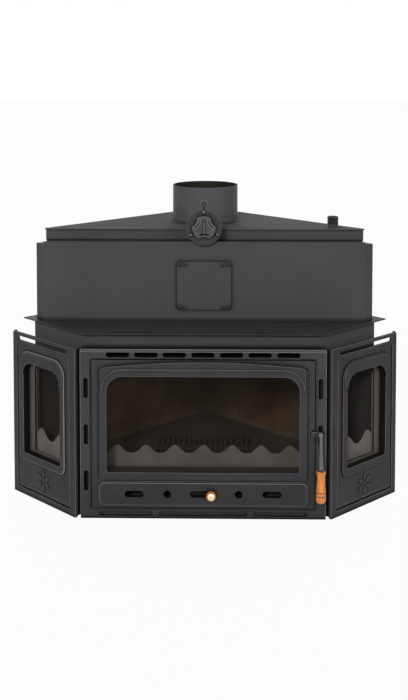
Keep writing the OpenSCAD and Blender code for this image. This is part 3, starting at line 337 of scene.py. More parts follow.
# %% Painted castings and sheets
SAND_CAST, FINE_CAST, COARSE, SMOOTH = (0.35, 0.0004), (0.3, 0.0003), (0.25, 0.0004), (0.1, 0.0003)
casting_paint = painted("casting paint", (0.037, 0.036, 0.0395, 1.0), grey(0.31), (0.5, 0.62), 9.0, 1100.0,
                        SAND_CAST, Drift=0.03, Edge=1.0, Foot=0.68)
door_paint = painted("door paint", (0.0315, 0.0305, 0.0335, 1.0), grey(0.29), (0.5, 0.62), 9.0, 1100.0,
                     SAND_CAST, Drift=0.03, Edge=1.0, Foot=0.68)
panel_paint = painted("side casting paint", (0.033, 0.0295, 0.0305, 1.0), grey(0.32, 0.02), (0.56, 0.68),
                      8.0, 1100.0, SAND_CAST, Drift=0.03, Edge=0.9)
wheel_paint = painted("handwheel paint", grey(0.034), grey(0.12), (0.4, 0.52), 30.0, 1300.0, FINE_CAST,
                      Drift=0.04, Edge=1.0)
boss_paint = painted("boss paint", grey(0.055), grey(0.3), (0.36, 0.48), 30.0, 1300.0, FINE_CAST,
                     Drift=0.1, Edge=1.0)
sheet_paint = painted("sheet paint", grey(0.0365), grey(0.048, 0.03), (0.42, 0.56), 3.2, 1400.0)
hood_paint = painted("hood paint", grey(0.0455, -0.02), grey(0.058, 0.03), (0.5, 0.62), 3.2, 1400.0,
                     Edge=0.8, Wiped=0.4)
# The top plate's paint is lighter than the hood's: painted light that the top catches from above
lit_lid_paint = painted("lid paint with painted light", (0.063, 0.0605, 0.064, 1.0), grey(0.07), (0.6, 0.72), 3.2, 1400.0,
                    plain=specular(0.05), Edge=0.8, Wiped=0.4)
# The shelf's paint is darker and warmer than the other sheets: painted shade under the hood
shaded_shelf_paint = painted("shelf paint with painted shade", grey(0.0245, 0.1), grey(0.036, 0.08), (0.46, 0.6), 4.0, 1200.0,
                      (0.15, 0.0003), Edge=0.6)
flue_paint = painted("flue paint", (0.067, 0.069, 0.072, 1.0), (0.08, 0.078, 0.078, 1.0), (0.44, 0.54),
                     11.0, 1500.0, SMOOTH, specular(0.1), Edge=0.6, Wiped=0.7)
pipe_paint = painted("pipe paint", grey(0.05, 0.02), grey(0.12, 0.04), (0.36, 0.5), 40.0, 1500.0, SMOOTH)
clamp_steel = painted("clamp steel", grey(0.02), grey(0.05, 0.05), (0.4, 0.55), 60.0, 1500.0,
                      (0.15, 0.0002))
boiler_plate = painted("boiler plate", grey(0.034, 0.04), grey(0.055, 0.08), (0.5, 0.68), 5.0, 800.0,
                       COARSE, Drift=0.6, Edge=0.4)

# %% Soot inside the flue
FLUE_SOOT = (0.017, 0.0145, 0.012, 1.0)
FLUE_SKIN = 2.5 * MM


def soot_within(material, radius):
    """Blackens what lies closer to the Z axis than a radius, as smoke does inside a flue."""
    tree = material.node_tree
    shader = tree.nodes["Principled BSDF"]
    source = shader.inputs["Base Color"].links[0].from_node
    place = add(tree, "ShaderNodeTexCoord", (-1100, 300))
    flat = feed(tree, add(tree, "ShaderNodeVectorMath", (-900, 300), operation="MULTIPLY"),
                {0: (place, "Object"), 1: (1, 1, 0)})
    reach = feed(tree, add(tree, "ShaderNodeVectorMath", (-700, 300), operation="LENGTH"), {0: (flat, 0)})
    inside = calculate(tree, "LESS_THAN", (reach, "Value"), radius)
    coat = mix(tree, (inside, 0), (source, "Colour"), FLUE_SOOT)
    wire(tree, coat, MIXED, shader, "Base Color")


soot_within(flue_paint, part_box("flue_collar")[1][0] - FLUE_SKIN)

# %% Fire-side finishes
# Near-black iron: partly smoked bare iron, partly painted shade in slots, jambs and behind the frame
smoke_and_shade_black = painted("smoke and shade black", grey(0.003, 0.05), grey(0.009, 0.05), (0.6, 0.8), 20.0, 800.0, COARSE,
                     Edge=0.6)
dusty_iron = painted("dusty iron", grey(0.07, 0.12), grey(0.1, 0.1), (0.6, 0.8), 16.0, 600.0,
                     (0.2, 0.0003), specular(0.15), Edge=0.3, Wiped=0.6)
brick_face = finish("firebrick", SOOT, (0.15, 0.0005), ASHEN, Base=(0.13, 0.07, 0.035, 1.0),
                    Ash=(0.12, 0.1, 0.08, 1.0), Amount=0.7)
fire_iron = finish("fire iron", SOOT, (0.2, 0.0005), ASHEN, Base=(0.035, 0.028, 0.024, 1.0),
                   Ash=(0.09, 0.08, 0.07, 1.0), Amount=0.5)
lever_paint = painted("lever paint", grey(0.05), grey(0.2), (0.3, 0.42), 40.0, 1300.0, (0.2, 0.0003),
                      specular(0.5), Drift=0.4, Edge=0.8, Wiped=0.6)
guard_iron = painted("guard iron", grey(0.115, 0.12), grey(0.15, 0.1), (0.6, 0.8), 16.0, 500.0,
                     (0.15, 0.0003), ASHEN, Edge=0.3, Wiped=0.8)
# The side guards take a lighter copy of the guard iron: painted light behind the side panes
lit_side_guard_iron = painted("side guard iron with painted light", grey(0.23, 0.12), grey(0.29, 0.1), (0.6, 0.8), 16.0, 500.0,
                          (0.15, 0.0003), ASHEN, Edge=0.3, Wiped=0.9)

# %% Wood, brass and bright steel
grip_wood = finish("varnished wood", WOOD, (0.08, 0.0002),
                   {"Coat Weight": 0.5, "Coat Roughness": 0.06, "Specular IOR Level": 0.5},
                   Light=(0.9, 0.29, 0.025, 1.0), Deep=(0.3, 0.06, 0.005, 1.0))
knob_wood = finish("knob wood", WOOD, (0.08, 0.0002), {"Coat Weight": 0.7, "Coat Roughness": 0.1},
                   Light=(0.5, 0.18, 0.035, 1.0), Deep=(0.2, 0.05, 0.01, 1.0), Along=0.5)
burnt_ring = finish("burnt ring", WOOD, (0.1, 0.0002), {"Coat Weight": 0.4, "Coat Roughness": 0.2},
                    Light=(0.02, 0.008, 0.003, 1.0), Deep=(0.01, 0.005, 0.002, 1.0))
brass = painted("brass", (0.8, 0.62, 0.38, 1.0), (0.95, 0.82, 0.6, 1.0), (0.2, 0.34), 120.0, 2500.0,
                (0.05, 0.0002), {"Metallic": 1.0}, Drift=0.7, Edge=0.8)
screw_steel = painted("screw steel", grey(0.12), grey(0.3), (0.28, 0.42), 160.0, 2500.0, (0.08, 0.0002),
                      {"Metallic": 1.0}, Drift=0.7, Edge=0.8)
rod_steel = painted("rod steel", grey(0.07, 0.05), grey(0.16, 0.05), (0.38, 0.55), 60.0, 1800.0,
                    (0.12, 0.0002), {"Metallic": 0.85}, Drift=0.7, Edge=0.8)
print(len(bpy.data.materials), "finishes so far")

# %% [markdown]
# ## Panes
# The panes are a glass-ceramic with a faint brown tint. Light has to reach the fire room through them, so
# a pane is a thin film: mostly see-through, a little sooty in patches, and with no mirror of its own.

# %% Pane material
def pane_material():
    material, tree, shader = new_material("pane")
    place = add(tree, "ShaderNodeTexCoord", (-900, 0))
    haze = noise(tree, (place, "Object"), Scale=9, Detail=4)
    film = spread(tree, (haze, "Fac"), 0.35, 0.7, 0.14, 0.24)
    tint = mix(tree, (haze, "Fac"), (0.012, 0.010, 0.008, 1.0), (0.035, 0.028, 0.02, 1.0))
    smear = spread(tree, (haze, "Fac"), 0.3, 0.7, 0.04, 0.12)
    feed(tree, shader, {"Alpha": (film, 0), "Base Color": (tint, MIXED), "Roughness": (smear, 0),
                        "IOR": 1.52, "Specular IOR Level": 0.0})
    return material


pane = pane_material()

# %% [markdown]
# ## Seal cord
# The door, the pane and the inspection cover close on a braided glass-fibre cord. Its two strand
# directions are waves that cross at an angle, and the darker of the two wins.

# %% Seal material
BRAID_ANGLE = radians(45)
BRAID_SCALE = 160


def cord_material():
    material, tree, shader = new_material("seal cord")
    place = add(tree, "ShaderNodeTexCoord", (-1100, 0))
    waves = []
    for turn in (BRAID_ANGLE, -BRAID_ANGLE):
        turned = feed(tree, add(tree, "ShaderNodeMapping", (-900, 0)),
                      {"Vector": (place, "Object"), "Rotation": (0, turn, 0)})
        waves.append(feed(tree, add(tree, "ShaderNodeTexWave", (-700, 0)),
                          {"Vector": (turned, 0), "Scale": BRAID_SCALE}))
    crossing = calculate(tree, "MINIMUM", (waves[0], "Fac"), (waves[1], "Fac"))
    tone = mix(tree, (crossing, 0), (0.07, 0.066, 0.06, 1.0), (0.3, 0.29, 0.27, 1.0))
    feed(tree, shader, {"Base Color": (tone, MIXED), "Roughness": 0.9})
    emboss(tree, shader, (crossing, 0), 0.6, 0.0008)
    return material


seal_cord = cord_material()
print(len(bpy.data.materials), "finishes in all")

# %% [markdown]
# ## Soft edges on castings
# No casting has a knife edge: the sand rounds it by about a millimetre, and that thin round is what
# catches the light in a photograph. A node's own mesh is never touched, so a copy is taken, its loose
# triangles are merged and its flat faces joined, and every sharp edge that juts out gets a small bevel.
# The copy then stands for the node. The new faces are marked with the attribute "edge", where the paint
# lightens them, partly as wear and partly as a painted highlight.
#
# A narrow rib or groove has no room for a wide bevel. So each loop of sharp edges is measured first: the
# shortest edge that leads away from it limits its bevel, to half of that edge where a second bevel comes
# from its other end, and to nine tenths of it elsewhere.

# %% Softening helper
SHARP = radians(32)
SAME_PLANE = radians(0.5)
WELD_DISTANCE = 0.00002
BEVEL_STEPS = (1.0, 0.7, 0.45, 0.3, 0.15)
BEVEL_SEGMENTS = 2
SHARED_ROOM, FREE_ROOM = 0.5, 0.9
FRAME_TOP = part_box("front_frame")[1][2]


def body_of_node(node):
    """The name of the body that a node belongs to."""
    for body, members in frame["record"]["behaviour"]["bodies"].items():
        if node in members:
            return body
    return "root"


def show(shape, name, material):
    """Turns a bmesh into an object with smooth shading broken at sharp edges."""
    mesh = bpy.data.meshes.new(name)
    shape.to_mesh(mesh)
    shape.free()
    mesh.materials.append(material)
    mesh.shade_smooth()
    mesh.set_sharp_from_angle(angle=SHARP)
    piece = bpy.data.objects.new(name, mesh)
    scene.collection.objects.link(piece)
    return piece


def juts_out(edge):
    """True where two faces meet sharply and outwards."""
    return edge.is_manifold and edge.is_convex and edge.calc_face_angle(0) > SHARP


def edge_loops(sharp):
    """Groups of sharp edges that hang together."""
    left = set(sharp)
    while left:
        group, front = set(), [left.pop()]
        while front:
            edge = front.pop()
            group.add(edge)
            for vert in edge.verts:
                for other in vert.link_edges:
                    if other in left:
                        left.discard(other)
                        front.append(other)
        yield group


def soften(node, width, material):
    """A copy of a CAD node with its sharp edges rounded, which then stands for the node.

    Width is the widest round; a loop of edges without room for it gets a narrower one."""
    shape = bmesh.new()
    shape.from_mesh(frame["nodes"][node].data)
    bmesh.ops.remove_doubles(shape, verts=shape.verts, dist=WELD_DISTANCE)
    bmesh.ops.dissolve_limit(shape, angle_limit=SAME_PLANE, verts=shape.verts, edges=shape.edges)
    # The front wall is cut at the frame's top, so that the part behind the frame can take the painted shade
    if node == "body_front":
        bmesh.ops.bisect_plane(shape, geom=shape.verts[:] + shape.edges[:] + shape.faces[:],
                               plane_co=(0, 0, FRAME_TOP), plane_no=(0, 0, 1))
    rim = shape.faces.layers.float.new("edge")
    step = shape.edges.layers.int.new("step")
    sharp = {e for e in shape.edges if juts_out(e)}
    ends = {v for e in sharp for v in e.verts}
    for group in edge_loops(sharp):
        room = min((e.calc_length() * (SHARED_ROOM if e.other_vert(v) in ends else FREE_ROOM)
                    for edge in group for v in edge.verts for e in v.link_edges if e not in sharp),
                   default=width)
        fits = [k for k, share in enumerate(BEVEL_STEPS, 1) if width * share < room]
        for edge in group:
            edge[step] = fits[0] if fits else len(BEVEL_STEPS)
    for k, share in enumerate(BEVEL_STEPS, 1):
        chosen = [e for e in shape.edges
                  if e[step] == k and juts_out(e) and not any(f[rim] for f in e.link_faces)]
        if chosen:
            rounded = bmesh.ops.bevel(shape, geom=chosen, offset=width * share, offset_type="OFFSET",
                                      affect="EDGES", segments=BEVEL_SEGMENTS, profile=0.5, material=-1,
                                      clamp_overlap=True)
            for face in rounded["faces"]:
                face[rim] = 1.0
    piece = show(shape, "soft_" + node, material)
    weighted = piece.modifiers.new("even shading", "WEIGHTED_NORMAL")
    weighted.keep_sharp = True
    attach(piece, body_of_node(node))
    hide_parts(node)
    return piece


# %% [markdown]
# ## Several finishes on one piece
# The paint was sprayed on the faces only. Inside slots, windows and jambs, and on the front wall behind
# the frame, the iron is bare, and its near-black finish is partly smoke and partly painted shade for these
# deep places. The ledge round a side pane is dusty with ash. A face's finish follows from how deep its
# middle lies behind the front, and for the ledge also from where it looks. The same kind of test gives the
# handwheel's boss its rubbed finish.

# %% Further finishes
FRONT_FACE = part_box("front_frame")[0][1]
FRAME_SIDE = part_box("front_frame")[1][0]
PANEL_FOOT = (0.3585, -0.392)
PANEL_RUN = 0.295
SKIN = 3.0 * MM
RECESS = 6.5 * MM
OUTER_RIM = 1 * MM
PANEL_RIM = 2 * MM
FACING = 0.8
DISC_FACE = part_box("wheel_screws")[1][1] - 0.6 * MM
wheel_low, wheel_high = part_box("damper_wheel")
DISC_TOP = wheel_low[2] + wheel_high[0] - wheel_low[0]


def front_layer(face):
    """0 for the painted front, 1 for what lies behind it. Shallow recesses stay painted."""
    depth = face.center.y - FRONT_FACE
    shallow = depth < RECESS and face.normal.y < -FACING
    return int(depth > SKIN and not shallow and abs(face.center.x) < FRAME_SIDE - OUTER_RIM)


def panel_layer(face):
    """0 for a side panel's painted face, 1 for its black jambs, 2 for the ledge round its pane."""
    spot, side = face.center, 1 if face.center.x > 0 else -1
    along = (abs(spot.x) - PANEL_FOOT[0] + spot.y - PANEL_FOOT[1]) / sqrt(2)
    depth = (PANEL_FOOT[0] - abs(spot.x) + spot.y - PANEL_FOOT[1]) / sqrt(2)
    outward = (face.normal.x * side - face.normal.y) / sqrt(2)
    within = PANEL_RIM < along < PANEL_RUN and PANEL_RIM < spot.z < FRAME_TOP - PANEL_RIM
    if depth < SKIN or not within:
        return 0
    return 2 if outward > FACING and depth > RECESS else 1


def disc_layer(face):
    """0 for the handwheel's disc and finger knob, 1 for the boss that stands out in front."""
    return int(face.center.y < DISC_FACE and face.center.z < DISC_TOP)


# Behind the front, layer 1 is the near-black finish, partly smoke and partly painted shade; the handwheel's
# layer 1 is its boss
FURTHER_FINISHES = {
    "front_frame": ([smoke_and_shade_black], front_layer),
    "door": ([smoke_and_shade_black], front_layer),
    "side_panel_left": ([smoke_and_shade_black, dusty_iron], panel_layer),
    "side_panel_right": ([smoke_and_shade_black, dusty_iron], panel_layer),
    "body_front": ([smoke_and_shade_black], lambda face: int(face.center.z < FRAME_TOP)),
    "damper_wheel": ([boss_paint], disc_layer),
}

# %% Castings and plates with soft edges
SOFT_EDGES = [
    (("front_frame",), 2.8, casting_paint),
    (("door", "latch_spindle"), 2.8, door_paint),
    (("latch_lever",), 1.6, lever_paint),
    (("side_panel_left", "side_panel_right"), 2.8, panel_paint),
    (("damper_wheel",), 1.2, wheel_paint),
    (("log_guard_front",), 0.9, guard_iron),
    (("log_guard_left", "log_guard_right"), 0.9, lit_side_guard_iron),
    (("hood_front", "hood_back_left", "hood_back_right", "hood_top_sheet", "tank_walls",
      "inspection_cover", "side_wall_left", "side_wall_right"), 0.8, hood_paint),
    (("tank_lid",), 0.8, lit_lid_paint),
    (("body_front", "rod_bracket"), 0.8, sheet_paint),
    (("shelf_plate",), 0.8, shaded_shelf_paint),
    (("brick_left_1", "brick_left_2", "brick_left_3", "brick_right_1", "brick_right_2",
      "brick_right_3"), 2.5, brick_face),
]
for nodes, width, material in SOFT_EDGES:
    for node in nodes:
        soft = soften(node, width * MM, material)
        print(soft.name, len(soft.data.polygons), "faces")
        if node in FURTHER_FINISHES:
            further, layer = FURTHER_FINISHES[node]
            for finish_of_layer in further:
                soft.data.materials.append(finish_of_layer)
            for face in soft.data.polygons:
                face.material_index = layer(face)

# %% [markdown]
# ## Helpers for shapes
# Round pieces come from a lathe, beads and cords from a grid of points that closes on itself. A finished
# shape is turned to its axis, moved to its place, and told which body carries it.

# %% Shape helpers
UP, FRONT, BACK = (0, 0, 1), (0, -1, 0), (0, 1, 0)
BEAD_SIDES = 8


def lathe(profile, steps=64):
    """Turns a profile of (radius, height) points, in mm, around Z."""
    shape = bmesh.new()
    points = [shape.verts.new((radius * MM, 0, height * MM)) for radius, height in profile]
    lines = [shape.edges.new(pair) for pair in zip(points, points[1:])]
    bmesh.ops.spin(shape, geom=points + lines, cent=(0, 0, 0), axis=(0, 0, 1), angle=2 * pi, steps=steps,
                   use_merge=True)
    bmesh.ops.remove_doubles(shape, verts=shape.verts, dist=WELD_DISTANCE / 2)
    bmesh.ops.recalc_face_normals(shape, faces=shape.faces)
    return shape


def skin(rows, columns, place, closed_rows=False):
    """A grid of faces with its corner (row, column) at place(row, column); each row closes on itself."""
    shape = bmesh.new()
    grid = [[shape.verts.new(place(i, j)) for j in range(columns)] for i in range(rows)]
    for i in range(rows if closed_rows else rows - 1):
        near, far = grid[i], grid[(i + 1) % rows]
        for j in range(columns):
            k = (j + 1) % columns
            shape.faces.new((near[j], near[k], far[k], far[j]))
    open_ends = [e for e in shape.edges if e.is_boundary]
    if open_ends:
        bmesh.ops.holes_fill(shape, edges=open_ends, sides=0)
    bmesh.ops.recalc_face_normals(shape, faces=shape.faces)
    return shape


def sweep(path, radius_at, up, closed):
    """A round bead along a path of points; radius_at gives its radius at each of them."""
    count = len(path)

    def place(i, j):
        after = path[(i + 1) % count] if closed or i + 1 < count else path[i]
        before = path[i - 1] if closed or i else path[i]
        along = (after - before).normalized()
        side = along.cross(up).normalized()
        turn = 2 * pi * j / BEAD_SIDES
        return path[i] + (side * cos(turn) + up * sin(turn)) * radius_at(i)
    return skin(count, BEAD_SIDES, place, closed)


def soft_block(size, at, turn, soft):
    """A box with soft edges, turned about Y."""
    shape = bmesh.new()
    matrix = Matrix.Translation(at) @ Matrix.Rotation(turn, 4, "Y") @ Matrix.Diagonal((*size, 1))
    bmesh.ops.create_cube(shape, size=1, matrix=matrix)
    bmesh.ops.bevel(shape, geom=shape.edges[:], offset=soft, affect="EDGES", segments=BEVEL_SEGMENTS,
                    profile=0.5)
    return shape


def aim(shape, at, towards):
    """Turns a shape's Z towards a direction and moves its origin to a place."""
    turn = Vector((0, 0, 1)).rotation_difference(Vector(towards)).to_matrix().to_4x4()
    bmesh.ops.transform(shape, matrix=Matrix.Translation(at) @ turn, verts=shape.verts)
    return shape


def merge(shapes):
    """Joins several shapes into the first."""
    whole = shapes[0]
    for extra in shapes[1:]:
        scrap = bpy.data.meshes.new("scrap")
        extra.to_mesh(scrap)
        extra.free()
        whole.from_mesh(scrap)
        bpy.data.meshes.remove(scrap)
    return whole


def dress(shape, name, body, slot, material, *replaced):
    """Shows a shape as a piece that rides on a body and stands for nodes; slot is not used."""
    piece = show(shape, name, material)
    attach(piece, body)
    if replaced:
        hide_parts(*replaced)
    print(name, len(piece.data.polygons), "faces")


def corners(node):
    """The lowest and the highest corner of a node's box."""
    return [Vector(corner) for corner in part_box(node)]


def middle(node):
    """The middle of a node's box."""
    low, high = corners(node)
    return (low + high) / 2

# %% [markdown]
# ## Turned handle
# The grip flares at its top, narrows to a waist, swells to a belly and ends round. Two rings near the
# lower end were burnt in with a wire. Over it a steel ferrule covers the end of the lever.

# %% Grip
grip_low, grip_high = corners("latch_grip")
GRIP_R = (grip_high.x - grip_low.x) / 2 / MM
GRIP_L = (grip_high.z - grip_low.z) / MM
GRIP_FOOT = Vector((middle("latch_grip").x, middle("latch_grip").y, grip_low.z))
FLARE, WAIST, BELLY = 0.98, 0.74, 0.97
ROUND_END, FLARE_FOOT, RIM = 0.16, 0.8, 0.965
PROFILE_STEPS = 60
RINGS = (0.25, 0.36)
RING_W = 2.4
RING_SEAT, RING_CUT = 0.3, 0.7


def grip_radius(t):
    """Radius of the grip at the share t of its length, from its foot."""
    if t < ROUND_END:
        return GRIP_R * BELLY * sqrt(max(0.0, 1 - (1 - t / ROUND_END) ** 2.4))
    if t < FLARE_FOOT:
        swell = (t - ROUND_END) / (FLARE_FOOT - ROUND_END)
        fullness = 0.5 + 0.5 * cos(pi * swell)
        return GRIP_R * (WAIST + (BELLY - WAIST) * fullness + 0.03 * sin(pi * min(1, 2.2 * swell)))
    return GRIP_R * (WAIST + (FLARE - WAIST) * ((t - FLARE_FOOT) / 0.2) ** 1.8)


def grip_profile():
    """The grip's outline from foot to top, with a groove for each ring and a rounded rim."""
    points = [(0.0, 0.0)]
    for i in range(1, PROFILE_STEPS + 1):
        t = i / PROFILE_STEPS * RIM
        groove = RING_CUT if any(abs(t - ring) * GRIP_L < RING_W / 2 for ring in RINGS) else 0.0
        points.append((grip_radius(t) - groove, t * GRIP_L))
    rim = grip_radius(RIM)
    return points + [(rim + 0.1, GRIP_L - 1.6), (rim - 0.7, GRIP_L - 0.3), (rim - 2.2, GRIP_L),
                     (0.0, GRIP_L)]


dress(aim(lathe(grip_profile(), 72), GRIP_FOOT, UP), "grip_turned", "latch", "wood", grip_wood,
      "latch_grip")
for number, ring in enumerate(RINGS, 1):
    r, low, high = grip_radius(ring) - RING_SEAT, ring * GRIP_L - RING_W / 2, ring * GRIP_L + RING_W / 2
    band = [(r, low), (r + 0.2, ring * GRIP_L), (r, high), (r - 1.5, high), (r - 1.5, low), (r, low)]
    dress(aim(lathe(band, 72), GRIP_FOOT, UP), f"grip_ring_{number}", "latch", "wood", burnt_ring)

# %% Ferrule
FERRULE_R, FERRULE_L = 8.4, 13.0
ferrule = lathe([(0, 0), (FERRULE_R + 0.8, 0), (FERRULE_R + 0.9, 1.2), (FERRULE_R, 2.2),
                 (FERRULE_R - 0.2, FERRULE_L - 1.5), (FERRULE_R - 0.9, FERRULE_L), (0, FERRULE_L)])
dress(aim(ferrule, GRIP_FOOT + Vector((0, 0, GRIP_L * MM)), UP), "grip_ferrule", "latch",
      "screw_steel", rod_steel)

# %% [markdown]
# ## Shutter knob
# A small wooden wheel with a rounded rim, and on it a brass cap with a slot.

# %% Knob
knob_low, knob_high = corners("air_knob")
cap_low, cap_high = corners("air_knob_screw")
KNOB_AT = Vector((middle("air_knob").x, knob_high.y, middle("air_knob").z))
KNOB_L = (knob_high.y - knob_low.y) / MM
KNOB_R = (knob_high.x - knob_low.x) / 2 / MM
CAP_R = (cap_high.x - cap_low.x) / 2 / MM + 2.0
CAP_FOOT, CAP_DOME = 0.5, 2.4
STEM_R = 4.0
RIM_ROUND, RIM_HALF = 6, 7
HEAD = KNOB_L - 2 * RIM_HALF
knob = [(0, 0), (STEM_R, 0), (STEM_R, HEAD)]
knob += [(KNOB_R - RIM_ROUND + RIM_ROUND * sin(a), HEAD + RIM_HALF - RIM_HALF * cos(a))
         for a in [i * pi / 16 for i in range(1, 15)]]
knob += [(CAP_R + 1.0, KNOB_L - 0.6), (CAP_R + 0.2, KNOB_L - 1.4), (0, KNOB_L - 1.4)]
dress(aim(lathe(knob, 72), KNOB_AT, FRONT), "knob_turned", "air_slide", "wood", knob_wood, "air_knob")
cap = [(0, -1.2), (CAP_R * 0.96, -1.2), (CAP_R, -0.4), (CAP_R, CAP_FOOT)]
cap += [(CAP_R * cos(a), CAP_FOOT + CAP_DOME * sin(a)) for a in [i * pi / 20 for i in range(1, 10)]]
cap += [(0, CAP_FOOT + CAP_DOME)]
dress(aim(lathe(cap, 64), Vector((KNOB_AT.x, knob_low.y, KNOB_AT.z)), FRONT), "knob_cap", "air_slide",
      "screw_steel", brass, "air_knob_screw")

# %% [markdown]
# ## Threaded pipe ends
# The flow and return pipes carry a right-hand pipe thread with eleven turns to the inch. The thread is a
# real helix: a point's depth under the crest depends on its height less its share of a turn.

# %% Pipe ends
THREAD_PITCH = 25.4 / 11
THREAD_DEPTH = 1.1
ROWS_PER_TURN = 8
BORE_WALL = 3.2
FILLET = 3.0
PLAIN_END = 7.0
MOUTH = 0.4


def pipe_end(length, radius, around=48):
    """A threaded tube with its weld fillet at the foot, along +Z from the origin."""
    turns = (length - PLAIN_END - 1.5) / THREAD_PITCH
    bore = radius - BORE_WALL
    rows = [(radius + FILLET, 0.0), (radius + 2.2, 1.4), (radius + 0.8, 2.6), (radius, 4.2),
            (radius, PLAIN_END)]
    # A row without a radius of its own lies on the thread
    rows += [(None, PLAIN_END + 0.5 + i * THREAD_PITCH / ROWS_PER_TURN)
             for i in range(round(turns * ROWS_PER_TURN))]
    rows += [(radius - THREAD_DEPTH, length - MOUTH), (radius - 1.6, length), (bore, length),
             (bore, length / 2), (bore, 0.0)]

    def place(i, j):
        r, z = rows[i]
        turn = 2 * pi * j / around
        if r is None:
            phase = (z / THREAD_PITCH - j / around) % 1.0
            fade = min(1.0, (z - PLAIN_END) / THREAD_PITCH, (length - MOUTH - z) / THREAD_PITCH)
            r = radius - THREAD_DEPTH * fade * (1 - abs(2 * phase - 1)) - 0.15
        return Vector((r * cos(turn), r * sin(turn), z)) * MM
    return skin(len(rows), around, place, True)


PIPE_R = 33.7 / 2
flow_low, flow_high = corners("flow_pipe")
flow_foot = Vector((middle("flow_pipe").x, middle("flow_pipe").y, flow_low.z))
dress(aim(pipe_end((flow_high.z - flow_low.z) / MM, PIPE_R), flow_foot, UP), "flow_thread", "casing",
      "flue_paint", pipe_paint, "flow_pipe")
return_low, return_high = corners("return_pipe")
outwards = Vector((1, 1, 0)).normalized()
# The box of a slanted tube is as wide as its length plus the disc at its foot, both seen at 45 degrees
return_r = (return_high.z - return_low.z) / 2
return_l = (return_high.x - return_low.x) * sqrt(2) - return_r - PIPE_R * MM
return_foot = Vector((return_low.x + return_r / sqrt(2), return_low.y + return_r / sqrt(2),
                      (return_low.z + return_high.z) / 2))
dress(aim(pipe_end(return_l / MM, PIPE_R), return_foot, outwards), "return_thread", "casing", "flue_paint",
      pipe_paint, "return_pipe")

# %% [markdown]
# ## Cover clamps
# Each corner of the inspection cover is held by a domed nut with one wing, turned towards the middle and
# hanging a little.

# %% Cover clamps
cover_front = corners("inspection_cover")[0].y
bolts_low, bolts_high = corners("cover_bolts")
BOLT_HEAD_R = 6.0
NUT = [(0, -9), (2.9, -9), (2.9, 0), (6, 0), (6, 1.2), (5.2, 2.8), (3.4, 3.7), (1.6, 4.0), (0, 4.05)]
WING = (21 * MM, 2.6 * MM, 4.6 * MM)
WING_REACH, WING_DROP, WING_DROOP = 13 * MM, 1.5 * MM, radians(-14)
WING_SOFT = 0.9 * MM
clamps = []
for side in (-1, 1):
    for z in (bolts_low.z + BOLT_HEAD_R * MM, bolts_high.z - BOLT_HEAD_R * MM):
        x = side * (bolts_high.x - BOLT_HEAD_R * MM)
        clamps.append(aim(lathe(NUT, 32), Vector((x, cover_front, z)), FRONT))
        at = Vector((x - side * WING_REACH, cover_front - WING_DROP, z - WING_DROP))
        clamps.append(soft_block(WING, at, side * WING_DROOP, WING_SOFT))
dress(merge(clamps), "cover_clamps", "casing", "dark_steel", clamp_steel, "cover_bolts")

# %% [markdown]
# ## Handwheel screws
# Three domed screws with a straight slot each hold the boss on the wheel.

# %% Screws
screws_high = corners("wheel_screws")[1]
SCREW_R = 5.4
HEAD_STEPS = 32
HEAD_EDGE = 0.5
SLOT_HALF, SLOT_DEPTH = 0.17, 0.55


def slotted_screw(radius, dome, slot_turn):
    """A domed head along +Z with a slot cut out of its top."""
    rows = [(radius, 0.0), (radius, HEAD_EDGE)]
    rows += [(radius * cos(a), HEAD_EDGE + dome * sin(a)) for a in [i * pi / 16 for i in range(1, 8)]]

    def place(i, j):
        r, z = rows[i]
        turn = 2 * pi * j / HEAD_STEPS
        x, y = r * cos(turn), r * sin(turn)
        across = abs(x * sin(slot_turn) - y * cos(slot_turn))
        if i > 1 and across < radius * SLOT_HALF:
            z -= dome * SLOT_DEPTH
        return Vector((x, y, z)) * MM
    return skin(len(rows), HEAD_STEPS, place)


wheel_axis = Vector((middle("damper_rod").x, screws_high.y, middle("damper_rod").z))
screw_at = (screws_high.z - SCREW_R * MM) - wheel_axis.z
heads = []
for number, angle in enumerate((90, 210, 330)):
    spot = wheel_axis + Vector((cos(radians(angle)), 0, sin(radians(angle)))) * screw_at
    heads.append(aim(slotted_screw(SCREW_R, 3.0, 0.5 + number), spot, FRONT))
dress(merge(heads), "wheel_screw_heads", "damper", "screw_steel", screw_steel, "wheel_screws")

# %% [markdown]
# ## Weld beads
# The tank is welded on the hood, the collar and the pipes stand on the tank, and the hood's folded
# returns meet the shelf. A bead is a row of overlapping scales, so its radius rises and falls along it.

# %% Weld beads
SCALE_LENGTH = 3.2
POINTS_PER_SCALE = 4


def line_path(start, end):
    """Points along a straight seam, a few for each scale."""
    start, end = Vector(start), Vector(end)
    count = max(2, round((end - start).length / MM / SCALE_LENGTH * POINTS_PER_SCALE))
    return [start.lerp(end, i / count) for i in range(count + 1)]


def ring_path(center, radius):
    """Points along a seam all round a pipe."""
    count = round(2 * pi * radius / MM / SCALE_LENGTH * POINTS_PER_SCALE)
    angles = [2 * pi * i / count for i in range(count)]
    return [center + Vector((cos(a), sin(a), 0)) * radius for a in angles]


def weld(path, radius, closed=False):
    """A weld bead: each scale swells and then drops, and the bead wanders by a few tenths."""
    def radius_at(i):
        scale = (i % POINTS_PER_SCALE) / POINTS_PER_SCALE
        return radius * MM * (0.88 + 0.2 * scale + 0.06 * sin(i * 0.37) + 0.04 * sin(i * 0.11))
    return sweep(path, radius_at, Vector(UP), closed)


